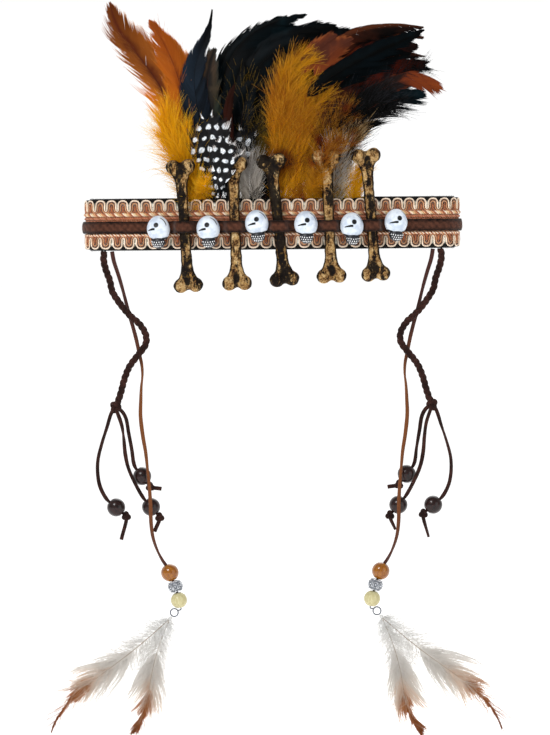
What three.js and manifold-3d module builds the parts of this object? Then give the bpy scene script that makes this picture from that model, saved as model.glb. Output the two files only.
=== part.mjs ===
// A feathered headdress: a felt and gimp band made as a closed loop, with bones, skull beads and a
// crest of feathers on its front, and a braided tie and a beaded feather pendant at each temple.
// Millimetres, +Z up, the front faces -Y. The origin is the middle of the loop, at half its height.
import * as THREE from "three";
import { mergeVertices } from "three/addons/utils/BufferGeometryUtils.js";
import Module from "manifold-3d";

const wasm = await Module();
wasm.setup();

// The loop, seen from above: two long arcs joined by two tight end arcs, as a band springs open
const loopWidth = 250;
const loopDepth = 96;
const endRadius = 26;
const bandHeight = 34.6;

// The layers of the band, from the inside out
const feltThickness = 1.6;
const feltShows = 0.6; // felt seen above and below the gimp
const gimpThickness = 2.3; // in the middle, under the dark strip
const gimpRowRise = 1; // how far the two scrolled rows stand proud
const stripHeight = 7.8;
const stripThickness = 2.2;
const stripDrop = 1.9; // the strip lies a little below the middle
const gap = 0.3; // between pieces that touch

// The feathers' quills stand in a shallow pocket behind the gimp's upper edge
const quillWidth = 1.7;
const quillThickness = 0.8;
const pocketDepth = 9;

// Bones
const boneLength = 88;
const shaftWidth = 7.8;
const shaftThickness = 6.2;
const lobeRadius = 4.9;
const lobeSpread = 9.8; // between the two lobes of one end
const lobeThickness = 8.8;

// Skull beads
const skullWidth = 15.4;
const skullHeight = 17;
const skullDepth = 11.5;
const jawWidth = 9.4;
const jawDrop = 4.6; // how far the jaw shows below the cranium
const eyeRadius = 1.3;
const eyeDepth = 1.2;
const besideBone = 3.7; // clear space between a skull and a bone shaft
const ornamentShift = 3.3; // the whole row sits a little to one side

// Laces and what hangs on them
const laceDiameter = 2.4;
const braidDiameter = 4.8;
const knotDiameter = 7;
const endKnotDiameter = 5;
const darkBeadDiameter = 12.1;
const amberBeadDiameter = 11.8;
const creamBeadDiameter = 10.9;
const silverBeadDiameter = 10.2;
const silverBeadHeight = 7.2;
const beadHole = 3.6;
const wireDiameter = 0.9;
const eyeLoopDiameter = 5.2; // to the middle of the wire
const bindingDiameter = 2.8;

// Materials
const paint = (color, roughness, metalness = 0) =>
  new THREE.MeshStandardMaterial({ color, roughness, metalness });
const blackFelt = paint(0x15110f, 0.95);
const gimpBraid = paint(0xb98a63, 0.8);
const darkSuede = paint(0x3a211c, 0.9);
const tanLeather = paint(0x7a4a2c, 0.7);
const paintedBone = paint(0x8c7a5c, 0.55);
const whiteSkull = paint(0xf2f4f6, 0.4);
const darkWood = paint(0x2e1411, 0.3);
const amberWood = paint(0xb5680f, 0.25);
const creamWood = paint(0xe8e0bd, 0.35);
const silverMetal = paint(0xb9bcc4, 0.3, 0.9);
const rustFeather = paint(0xa04a14, 0.7);
const blackFeather = paint(0x10161d, 0.5);
const bronzeFeather = paint(0x3b2c1c, 0.5);
const orangeFeather = paint(0xdc8a10, 0.8);
const spottedFeather = paint(0x2a2a30, 0.7);
const greyFeather = paint(0x9a9490, 0.9);
const whiteFeather = paint(0xe6e0d8, 0.9);

// A closed mesh from rings of points: capped at both ends, or joined into a loop
function skin(rings, joined = false) {
  const size = rings[0].length;
  const points = rings.flat();
  const faces = [];
  const spans = joined ? rings.length : rings.length - 1;
  for (let r = 0; r < spans; r++) {
    const here = r * size;
    const next = ((r + 1) % rings.length) * size;
    for (let k = 0; k < size; k++) {
      const l = (k + 1) % size;
      faces.push(here + k, here + l, next + k, here + l, next + l, next + k);
    }
  }
  if (!joined) {
    const last = (rings.length - 1) * size;
    for (let k = 1; k < size - 1; k++) {
      faces.push(0, k + 1, k);
      faces.push(last, last + k, last + k + 1);
    }
  }
  const geometry = new THREE.BufferGeometry().setFromPoints(points).setIndex(faces);
  return volumeOf(geometry) < 0 ? turnedOut(geometry) : geometry;
}

function volumeOf(geometry) {
  const at = geometry.getAttribute("position");
  const index = geometry.index.array;
  const [a, b, c] = [new THREE.Vector3(), new THREE.Vector3(), new THREE.Vector3()];
  let volume = 0;
  for (let i = 0; i < index.length; i += 3) {
    a.fromBufferAttribute(at, index[i]);
    b.fromBufferAttribute(at, index[i + 1]);
    c.fromBufferAttribute(at, index[i + 2]);
    volume += a.dot(b.cross(c)) / 6;
  }
  return volume;
}

function turnedOut(geometry) {
  const index = geometry.index.array;
  for (let i = 0; i < index.length; i += 3) {
    [index[i + 1], index[i + 2]] = [index[i + 2], index[i + 1]];
  }
  return geometry;
}

function solidOf(geometry) {
  const bare = geometry.clone();
  bare.deleteAttribute("normal");
  bare.deleteAttribute("uv");
  const merged = mergeVertices(bare, 1e-4);
  return new wasm.Manifold(
    new wasm.Mesh({
      numProp: 3,
      vertProperties: new Float32Array(merged.attributes.position.array),
      triVerts: new Uint32Array(merged.index.array),
    }),
  );
}

function geometryOf(solid) {
  const mesh = solid.getMesh();
  const geometry = new THREE.BufferGeometry();
  geometry.setAttribute("position", new THREE.BufferAttribute(mesh.vertProperties, 3));
  geometry.setIndex(new THREE.BufferAttribute(mesh.triVerts, 1));
  return geometry;
}

const joinedUp = (geometries) =>
  geometryOf(geometries.map(solidOf).reduce((whole, piece) => whole.add(piece)));

const headdress = new THREE.Group();

function addPiece(name, geometry, material, place = new THREE.Group()) {
  const mesh = new THREE.Mesh(geometry, material);
  mesh.name = name;
  mesh.position.copy(place.position);
  mesh.rotation.copy(place.rotation);
  headdress.add(mesh);
  return mesh;
}

// The band. Its path is the outer face of the felt, and a layer is an offset from it.
const feltFace = 0;
const gimpBack = feltFace + gap;
const pocketFace = gimpBack + quillThickness + gap;
const gimpFace = gimpBack + gimpThickness;
const rowFace = gimpFace + gimpRowRise;
const stripBack = gimpFace + gap;
const stripFace = stripBack + stripThickness;
const gimpHalf = bandHeight / 2 - feltShows;

const endArc = endRadius - rowFace;
const endCentre = loopWidth / 2 - endRadius;
const halfDepth = loopDepth / 2;
const longRadius =
  (endCentre ** 2 + halfDepth ** 2 - endRadius ** 2) / (2 * (halfDepth - endRadius));
const longArc = longRadius - rowFace;
const longCentre = longRadius - halfDepth;
const endTurn = Math.atan2(endCentre, longCentre);

// The point of the loop whose outward normal is turned by this angle from the front, at an offset
function onLoop(turn, offset, z) {
  const [side, front] = [Math.sin(turn), -Math.cos(turn)];
  const onEnd = Math.abs(side) > Math.sin(endTurn);
  const radius = (onEnd ? endArc : longArc) + offset;
  const x = onEnd ? Math.sign(side) * endCentre : 0;
  const y = onEnd ? 0 : -Math.sign(front) * longCentre;
  return new THREE.Vector3(x + radius * side, y + radius * front, z);
}

// The angle at which a place on the front, in millimetres along the felt from the middle, lies
const turnAt = (along) => along / longArc;

function evenTurns(longSteps, endSteps) {
  const turns = [];
  const stretches = [
    [-endTurn, endTurn, longSteps],
    [endTurn, Math.PI - endTurn, endSteps],
    [Math.PI - endTurn, Math.PI + endTurn, longSteps],
    [Math.PI + endTurn, 2 * Math.PI - endTurn, endSteps],
  ];
  for (const [from, to, steps] of stretches) {
    for (let i = 0; i < steps; i++) turns.push(from + ((to - from) * i) / steps);
  }
  return turns;
}

const loopOf = (turns, sectionAt) =>
  skin(
    turns.map((turn) => sectionAt(turn).map(([offset, z]) => onLoop(turn, offset, z))),
    true,
  );

const bandTurns = evenTurns(12, 8);
const top = bandHeight / 2;
const stripLow = -stripDrop - stripHeight / 2;
const stripHigh = -stripDrop + stripHeight / 2;

addPiece(
  "felt_band",
  loopOf(bandTurns, () => [
    [-feltThickness, -top],
    [feltFace, -top],
    [feltFace, top],
    [-feltThickness, top],
  ]),
  blackFelt,
);

addPiece(
  "gimp_trim",
  loopOf(bandTurns, () => [
    [gimpBack, -gimpHalf],
    [rowFace, -gimpHalf],
    [rowFace, stripLow - gap],
    [gimpFace, stripLow - gap],
    [gimpFace, stripHigh + gap],
    [rowFace, stripHigh + gap],
    [rowFace, gimpHalf],
    [pocketFace, gimpHalf],
    [pocketFace, gimpHalf - pocketDepth],
    [gimpBack, gimpHalf - pocketDepth],
  ]),
  gimpBraid,
);

// The ornaments in a row along the front: six skulls with a bone between each two.
// drift is a share of the pitch, rise a share of the skull's height or of the bone's length.
const pitch = skullWidth + shaftWidth + 2 * besideBone;
const skulls = [
  { drift: 0, rise: -0.16, tilt: 0 },
  { drift: 0.06, rise: -0.17, tilt: -2 },
  { drift: 0.07, rise: 0.03, tilt: -4 },
  { drift: 0.09, rise: -0.02, tilt: 1 },
  { drift: 0.05, rise: -0.1, tilt: 2 },
  { drift: 0, rise: 0.03, tilt: 5 },
];
const bones = [
  { drift: 0.04, rise: -0.014, lean: -3.4 },
  { drift: 0.11, rise: 0, lean: -1.6 },
  { drift: 0.01, rise: 0.024, lean: -6 },
  { drift: 0.08, rise: 0.048, lean: -2.2 },
  { drift: -0.02, rise: 0.058, lean: -4.4 },
];
const placeInRow = (row, i) =>
  ornamentShift + (i - (row.length - 1) / 2 + row[i].drift) * pitch;

// A frame on the band at a place along its front: x along the band, y into it, z up
function onFront(along, offset, z, lean = 0) {
  const place = new THREE.Group();
  place.position.copy(onLoop(turnAt(along), offset, z));
  place.rotation.set(0, THREE.MathUtils.degToRad(lean), turnAt(along), "ZYX");
  return place;
}

// Bones, lying on the gimp's raised rows. Each column is a share: of half the length, the width
// of the shaft and its thickness.
const boneSections = [
  { along: 0, width: 0.94, thick: 0.96 },
  { along: 0.4, width: 0.96, thick: 0.98 },
  { along: 0.64, width: 1.06, thick: 1.04 },
  { along: 0.78, width: 1.5, thick: 1.12 },
  { along: 0.87, width: 2.1, thick: 1.2 },
  { along: 0.93, width: 1.9, thick: 1.0 },
];
const boneSides = 8;

function boneShape() {
  const half = boneLength / 2;
  const mirrored = boneSections.slice(1).reverse();
  const rows = [...mirrored.map((s) => ({ ...s, along: -s.along })), ...boneSections];
  const shaft = skin(
    rows.map(({ along, width, thick }) =>
      Array.from({ length: boneSides }, (_, k) => {
        const a = (2 * Math.PI * k) / boneSides;
        const x = (Math.cos(a) * width * shaftWidth) / 2;
        return new THREE.Vector3(x, (Math.sin(a) * thick * shaftThickness) / 2, along * half);
      }),
    ),
  );
  const lobes = [];
  for (const end of [-1, 1]) {
    for (const side of [-1, 1]) {
      const lobe = new THREE.SphereGeometry(lobeRadius, 7, 4);
      lobe.scale(1, lobeThickness / (2 * lobeRadius), 1);
      lobe.translate((side * lobeSpread) / 2, 0, end * (half - lobeRadius));
      lobes.push(lobe);
    }
  }
  return joinedUp([shaft, ...lobes]);
}

const boneAxis = rowFace + gap + (shaftThickness * 1.12) / 2;
bones.forEach(({ rise, lean }, i) => {
  const place = onFront(placeInRow(bones, i), boneAxis, rise * boneLength, lean);
  addPiece(`bone_${i + 1}`, boneShape(), paintedBone, place);
});

// The dark strip: it lies on the gimp, passes over each bone and carries the skulls
const overBone = boneAxis + shaftThickness / 2 + gap - stripBack;
const plateau = shaftWidth * 0.41; // half the width of the flat stretch over a bone
const skullSeat = skullWidth * 0.385; // half the width of the flat stretch under a skull
const widestRamp = 6;

// Where the strip comes down on each side of a bone, measured from the bone
const ramps = bones.map((_, i) => {
  const bone = placeInRow(bones, i);
  return [skulls[i], skulls[i + 1]].map((_, k) => {
    const room = Math.abs(placeInRow(skulls, i + k) - bone) - skullSeat;
    return Math.min(room, plateau + widestRamp);
  });
});

function stripLift(along) {
  let lift = 0;
  bones.forEach((_, i) => {
    const away = along - placeInRow(bones, i);
    const end = ramps[i][away < 0 ? 0 : 1];
    const down = THREE.MathUtils.clamp((Math.abs(away) - plateau) / (end - plateau), 0, 1);
    lift = Math.max(lift, overBone * (0.5 + 0.5 * Math.cos(Math.PI * down)));
  });
  return lift;
}

function stripTurns() {
  const besides = bones.flatMap((_, i) =>
    [0, 0.35, 0.7, 1].flatMap((s) =>
      [-1, 1].map((side) => {
        const end = ramps[i][side < 0 ? 0 : 1];
        return turnAt(placeInRow(bones, i) + side * (plateau + s * (end - plateau)));
      }),
    ),
  );
  const [first, last] = [Math.min(...besides), Math.max(...besides)];
  const rest = bandTurns.filter((t) => t < first - 0.02 || t > last + 0.02);
  return [...rest, ...besides].sort((a, b) => a - b);
}

addPiece(
  "dark_strip",
  loopOf(stripTurns(), (turn) => {
    const lift = Math.abs(turn) < endTurn ? stripLift(turn * longArc) : 0;
    const edge = stripThickness * 0.4;
    return [
      [stripBack + lift, stripLow],
      [stripFace + lift - edge, stripLow],
      [stripFace + lift, stripLow + edge],
      [stripFace + lift, stripHigh - edge],
      [stripFace + lift - edge, stripHigh],
      [stripBack + lift, stripHigh],
    ];
  }),
  darkSuede,
);

// Skull beads: a flat-backed egg, two cheeks, a toothed jaw below and the sunken eye
function skullShape() {
  const egg = new THREE.SphereGeometry(1, 12, 8);
  egg.scale(skullWidth / 2, skullDepth * 0.62, skullHeight / 2);
  const jaw = skin(
    [
      { z: -0.18, width: 1.12, depth: 1.1 },
      { z: -0.5, width: 1.0, depth: 1.05 },
      { z: -0.5 - jawDrop / skullHeight, width: 0.74, depth: 0.9 },
    ].map(({ z, width, depth }) =>
      [-1, -0.6, 0.6, 1].map((side, k) => {
        const front = k === 0 || k === 3 ? -0.12 : -0.36;
        return new THREE.Vector3(
          (side * width * jawWidth) / 2,
          front * depth * skullDepth,
          z * skullHeight,
        );
      }).concat([
        new THREE.Vector3((width * jawWidth) / 2, skullDepth * 0.2, z * skullHeight),
        new THREE.Vector3((-width * jawWidth) / 2, skullDepth * 0.2, z * skullHeight),
      ]),
    ),
  );
  const back = new THREE.BoxGeometry(2 * skullWidth, skullDepth, 3 * skullHeight);
  back.translate(0, skullDepth * 0.88, 0);
  const eye = new THREE.CylinderGeometry(eyeRadius, eyeRadius, 2 * eyeDepth, 7);
  const eyeFace = skullDepth * 0.62 * Math.sqrt(1 - 0.04 ** 2 - 0.14 ** 2);
  eye.translate(skullWidth * 0.02, -eyeFace, skullHeight * 0.07);
  const whole = solidOf(egg).add(solidOf(jaw));
  return geometryOf(whole.subtract(solidOf(back)).subtract(solidOf(eye)));
}

// The egg's flat back lies 0.38 of its depth behind its middle
const skullAxis = stripFace + gap + skullDepth * 0.38;
skulls.forEach(({ rise, tilt }, i) => {
  const place = onFront(placeInRow(skulls, i), skullAxis, rise * skullHeight, tilt);
  addPiece(`skull_bead_${i + 1}`, skullShape(), whiteSkull, place);
});

// Feathers. A feather's line turns evenly between its headings, in degrees from straight up,
// positive towards +X. Widths along it are shares of its full width.
const widthShares = {
  hackle: [0.1, 0.55, 0.85, 1, 0.92, 0.62, 0.08],
  plume: [0.12, 0.62, 0.92, 1, 0.95, 0.72, 0.16],
  round: [0.12, 0.45, 0.75, 0.95, 1, 0.86, 0.34],
};
const crestHeight = 130;
const featherWidth = 20;
const featherStep = 15;
const bladeThickness = 0.8;

// The value at t from 0 to 1 in an evenly spaced list
function between(list, t) {
  const place = THREE.MathUtils.clamp(t, 0, 1) * (list.length - 1);
  const i = Math.min(Math.floor(place), list.length - 2);
  return list[i] + (list[i + 1] - list[i]) * (place - i);
}

// The front face of a layer of the band at a place across it
const frontAt = (x, offset) => longCentre - Math.sqrt((longArc + offset) ** 2 - x ** 2);

// Points along a feather from its foot, with the directions across it and through it at each.
// quillStops are lengths along the bare quill, the last of them where the blade begins.
function featherLine(foot, length, headings, quillStops, depthAt) {
  const line = [];
  const bare = quillStops[quillStops.length - 1];
  const steps = THREE.MathUtils.clamp(Math.round((length - bare) / featherStep), 4, 9);
  const blades = Array.from({ length: steps }, (_, i) => bare + ((length - bare) * (i + 1)) / steps);
  const stops = [0, ...quillStops, ...blades];
  const at = new THREE.Vector2(foot.x, foot.z);
  for (let i = 0; i < stops.length; i++) {
    const t = stops[i] / length;
    const heading = THREE.MathUtils.degToRad(between(headings, t));
    const slope = Math.atan2(depthAt(at.x + 1, at.y, t) - depthAt(at.x - 1, at.y, t), 2);
    const across = new THREE.Vector3(Math.cos(heading), 0, -Math.sin(heading));
    const through = new THREE.Vector3(-Math.sin(slope), Math.cos(slope), 0);
    across.y = across.x * Math.tan(slope);
    line.push({
      t,
      point: new THREE.Vector3(at.x, depthAt(at.x, at.y, t), at.y),
      across: across.normalize(),
      through,
    });
    const next = (stops[i + 1] ?? length) - stops[i];
    const ahead = THREE.MathUtils.degToRad(between(headings, t + (0.5 * next) / length));
    at.x += next * Math.sin(ahead);
    at.y += next * Math.cos(ahead);
  }
  return { line, bare: bare / length };
}

// A blade with a lens section; bare is the share of the length that is only quill
function blade({ line, bare }, width, kind) {
  return skin(
    line.map(({ t, point, across, through }) => {
      const grown = Math.max(0, (t - bare) / (1 - bare));
      const onQuill = t < bare + 1e-6;
      const wide = onQuill ? quillWidth : width * between(widthShares[kind], grown);
      const half = Math.max(wide, quillWidth) / 2;
      const thick = (onQuill ? quillThickness : bladeThickness) / 2;
      const corner = (side, deep) =>
        point.clone().addScaledVector(across, side * half).addScaledVector(through, deep);
      return [
        corner(-1, -thick / 3),
        corner(-0.4, -thick),
        corner(0.4, -thick),
        corner(1, -thick / 3),
        corner(0.6, thick),
        corner(-0.6, thick),
      ];
    }),
  );
}

// The crest. foot is the quill's place along the band, as a share of half the loop's width, length
// is a share of the crest's height and width a share of a usual feather's. layer counts from the
// front to the back.
const crest = [
  { name: "rust_hackle_long", foot: -0.43, length: 1.169, width: 1.25, layer: 8, kind: "hackle",
    headings: [-4, -8, -16, -34, -40, -8], colour: rustFeather },
  { name: "rust_hackle_short", foot: -0.405, length: 1.015, width: 1.2, layer: 7, kind: "hackle",
    headings: [-6, -6, -6, -8, -26, -34], colour: rustFeather },
  { name: "yellow_plume", foot: -0.37, length: 0.615, width: 1.5, layer: 3, kind: "plume",
    headings: [-10, -26, -24, -20, -17, -18], colour: orangeFeather },
  { name: "spotted_feather_left", foot: -0.335, length: 0.462, width: 1.25, layer: 1, kind: "round",
    headings: [4, 4, 0, -2, -4, -6], colour: spottedFeather },
  { name: "black_hook_feather", foot: -0.3, length: 1.046, width: 0.8, layer: 5, kind: "hackle",
    headings: [-9, -8, -11, -8, 28, 4], colour: blackFeather },
  { name: "bronze_feather", foot: -0.27, length: 0.831, width: 0.7, layer: 6, kind: "hackle",
    headings: [-1, -2, -10, -11, 4, 20], colour: bronzeFeather },
  { name: "spotted_feather_right", foot: -0.24, length: 0.431, width: 0.8, layer: 2, kind: "round",
    headings: [4, 8, 14, 20, 22, 26], colour: spottedFeather },
  { name: "black_arch_outer", foot: -0.21, length: 1.246, width: 1, layer: 10, kind: "hackle",
    headings: [-2, -6, -7, 20, 62, 84], colour: blackFeather },
  { name: "black_arch_inner", foot: -0.17, length: 1.046, width: 0.9, layer: 9, kind: "hackle",
    headings: [0, -3, 2, 22, 50, 76], colour: blackFeather },
  { name: "grey_plume_left", foot: -0.12, length: 0.254, width: 0.8, layer: 1, kind: "plume",
    headings: [4, 2, 0, -2, -4, -5], colour: greyFeather },
  { name: "rust_black_top", foot: -0.075, length: 1.446, width: 0.85, layer: 11, kind: "hackle",
    headings: [7, 13, 25, 47, 78, 98], colour: rustFeather },
  { name: "orange_plume_centre", foot: 0.02, length: 0.831, width: 1.8, layer: 4, kind: "plume",
    headings: [2, -3, -1, 6, 16, 36], colour: orangeFeather },
  { name: "rust_black_middle", foot: 0.065, length: 1.185, width: 0.85, layer: 8, kind: "hackle",
    headings: [9, 15, 24, 43, 69, 88], colour: rustFeather },
  { name: "orange_plume_right", foot: 0.13, length: 0.969, width: 1.5, layer: 5, kind: "plume",
    headings: [4, 8, 10, 20, 44, 68], colour: orangeFeather },
  { name: "black_right_feather", foot: 0.175, length: 1.062, width: 0.9, layer: 7, kind: "hackle",
    headings: [10, 19, 30, 46, 66, 84], colour: blackFeather },
  { name: "rust_tip_feather", foot: 0.22, length: 1.046, width: 0.75, layer: 6, kind: "hackle",
    headings: [11, 19, 28, 48, 76, 128], colour: rustFeather },
  { name: "black_plume_right", foot: 0.27, length: 0.769, width: 1.35, layer: 3, kind: "plume",
    headings: [6, 14, 18, 30, 58, 82], colour: blackFeather },
  { name: "grey_plume_right", foot: 0.32, length: 0.292, width: 0.95, layer: 1, kind: "plume",
    headings: [2, 3, 4, 5, 6, 7], colour: greyFeather },
  { name: "tan_plume_right", foot: 0.365, length: 0.508, width: 0.9, layer: 2, kind: "plume",
    headings: [2, 4, 8, 14, 30, 58], colour: orangeFeather },
];
const layerStep = 1.15;
const forwardLayers = 1.6; // how many layers lean forward over the gimp
const fanOut = 0.8; // how much further apart the layers are at the height of the tips
const footAboveFloor = 0.6; // of the pocket
const openOut = 9; // height over which a feather leaves the pocket and reaches its layer
const leaving = pocketDepth + 0.6; // the quill up to just above the felt's top edge
const bareQuill = pocketDepth + 5.5;

crest.forEach(({ name, foot, length, width, layer, kind, headings, colour }) => {
  const x = (foot * loopWidth) / 2;
  const footHeight = gimpHalf - pocketDepth + footAboveFloor;
  const depthAt = (acrossAt, z) => {
    const risen = THREE.MathUtils.smoothstep(z, top + 0.8, top + openOut);
    const spread = 1 + (fanOut * z) / crestHeight;
    return frontAt(acrossAt, gimpBack + quillThickness / 2) + risen * (layer - forwardLayers) * layerStep * spread;
  };
  const foothold = { x, z: footHeight };
  const stops = [leaving, bareQuill];
  const line = featherLine(foothold, length * crestHeight, headings, stops, depthAt);
  addPiece(name, blade(line, width * featherWidth, kind), colour);
});

// Laces. A route is a short list of chosen points for the left side: how far inward of the braid's
// top, how far above it, and how far forward. The right side mirrors it.
const braidTop = endCentre + 0.55 * (endArc + gimpBack);
const underBand = 0.4; // how far below the felt the laces begin
const hangFront = -Math.sqrt((endArc + gimpBack) ** 2 - (braidTop - endCentre) ** 2);
const braidRoute = [
  [0, 0, 0], [-0.5, -5.3, 0], [1, -12.3, 0.5], [3.5, -19.3, 0.5], [5, -26.3, 0.5],
  [8.5, -32.3, 1], [13, -38.3, 2], [17.5, -43.3, 2.5], [23, -48.3, 2], [27, -55.3, 1],
  [27, -61.3, 1], [23, -67.3, 2], [18.5, -72.8, 2], [15.5, -77.3, 1], [12.5, -84.8, 0.5],
  [10.5, -92.3, 0], [8.2, -99.3, 0], [6.3, -103.3, 0],
];
const pendantRoute = [
  [5.2, 0, 2.5], [6.3, -6.3, 1.6], [9.1, -15.3, 0.2], [11.8, -24.8, -1.4], [13.8, -32.8, -2.5],
  [15.8, -40.8, -3], [18.5, -50.3, -3], [20.9, -59.8, -2.5], [22.5, -67.8, -2.5], [24.1, -75.3, -1.5],
  [24.5, -82.3, 0], [23.7, -90.3, 1], [23.3, -99.3, 2], [23.1, -109.3, 3], [24.5, -122.3, 4],
  [26.3, -133.3, 5], [27.5, -145.3, 5.5], [28.6, -157.3, 5.5], [29.2, -168.3, 5.5], [29.4, -179.3, 4.5],
  [30.5, -189.3, 3], [33.3, -198.3, 1.5], [36.5, -204.8, 0.5], [39.3, -209.1, 0], [41.5, -213.5, 0],
  [43.4, -217.9, 0], [45, -222.5, 0], [46.3, -227.1, 0], [47.3, -230.5, 0],
];
const mainKnot = [6.3, -103.3, 0];
const pendantBeads = [
  { name: "amber_bead", at: [41.5, -213.5, 0], along: [3.9, -8.8], colour: amberWood },
  { name: "silver_bead", at: [45.1, -222.6, 0], along: [2.9, -9.2], colour: silverMetal },
  { name: "cream_bead", at: [47.4, -231.8, 0], along: [1.8, -9.4], colour: creamWood },
];
// Each strand leaves the knot, runs through a bead and ends in a knot and a short tail
const strands = [
  { name: "outer", bead: [6.3, -169.8, 0], beadAlong: [0.75, -0.66], tail: [9.5, -191.3, 0],
    route: [[3.9, -106.7, 0], [0.6, -116.8, 0], [-2.8, -127.3, 0], [-5.5, -138.3, 0],
      [-5.7, -147.8, 0], [-4.1, -156.3, 0]] },
  { name: "middle", bead: [29.4, -169.8, -2.5], beadAlong: [0.64, -0.77], tail: [31.5, -186.3, -2.5],
    route: [[7.9, -107.5, 0.5], [10.5, -115.3, 1], [11.8, -124.3, 1.5], [12.7, -134.3, 2],
      [14.6, -143.3, 3], [18.1, -151.8, 2.6]] },
  { name: "inner", bead: [23.7, -149.3, -2.5], beadAlong: [0.6, -0.8], tail: [36.5, -157.8, -2.5],
    route: [[10.1, -105.5, -1], [13.1, -110.3, -1.5], [15, -120.6, -2], [16.9, -131.3, -2.5]] },
];
const tubeStep = 3; // in diameters
const stoutTubeStep = 2;

const onSide = ([inward, above, forward], side) =>
  new THREE.Vector3(side * (braidTop - inward), hangFront - forward, above - top - underBand);

function tubeAlong(points, diameter) {
  const curve = new THREE.CatmullRomCurve3(points, false, "centripetal");
  const sides = diameter < 1.5 ? 5 : 8;
  const ring = Array.from({ length: sides }, (_, k) => {
    const a = (2 * Math.PI * k) / sides;
    return new THREE.Vector2((Math.cos(a) * diameter) / 2, (Math.sin(a) * diameter) / 2);
  });
  const step = diameter * (diameter < 4 ? tubeStep : stoutTubeStep);
  const steps = Math.max(2, Math.ceil(curve.getLength() / step));
  const shape = new THREE.Shape(ring);
  return new THREE.ExtrudeGeometry(shape, { steps, extrudePath: curve });
}

function ballAt(point, diameter, stretch = 1) {
  const ball = new THREE.SphereGeometry(diameter / 2, 8, 5);
  ball.scale(1, 1, stretch);
  return ball.translate(point.x, point.y, point.z);
}

// A drilled bead whose hole runs along +Z before it is turned: a ball, or a barrel with flat ends
function beadShape(diameter, height) {
  const [radius, hole] = [diameter / 2, beadHole / 2];
  const rim = Math.asin(Math.min(1, height / diameter));
  const flat = height < diameter * 0.9 ? rim : Math.acos(hole / radius);
  const arc = 5;
  const profile = [];
  for (let i = 0; i <= arc; i++) {
    const a = -flat + (2 * flat * i) / arc;
    profile.push(new THREE.Vector2(radius * Math.cos(a), radius * Math.sin(a)));
  }
  const end = radius * Math.sin(flat);
  if (profile[arc].x > hole + 0.1) profile.push(new THREE.Vector2(hole, end));
  if (profile[0].x > hole + 0.1) profile.push(new THREE.Vector2(hole, -end));
  profile.push(profile[0].clone());
  const bead = mergeVertices(bareOf(new THREE.LatheGeometry(profile, 10)), 1e-4);
  bead.rotateX(Math.PI / 2);
  return volumeOf(bead) < 0 ? turnedOut(bead) : bead;
}

function bareOf(geometry) {
  geometry.deleteAttribute("normal");
  geometry.deleteAttribute("uv");
  return geometry;
}

// A bead at a point of a route, its hole turned along the route
function addBead(name, shape, at, along, side, colour) {
  const place = new THREE.Group();
  place.position.copy(onSide(at, side));
  place.rotation.set(0, Math.atan2(side * -along[0], -along[1]) * -1, 0);
  return addPiece(name, shape, colour, place);
}

const sideNames = { "-1": "left", 1: "right" };
const beadSizes = {
  amber_bead: [amberBeadDiameter, amberBeadDiameter],
  silver_bead: [silverBeadDiameter, silverBeadHeight],
  cream_bead: [creamBeadDiameter, creamBeadDiameter],
};

// Points on the straight line through a bead, at these distances from its middle
const throughBead = (at, [dx, dz], distances) => {
  const size = Math.hypot(dx, dz);
  return distances.map((d) => [at[0] + (dx / size) * d, at[1] + (dz / size) * d, at[2]]);
};

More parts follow.
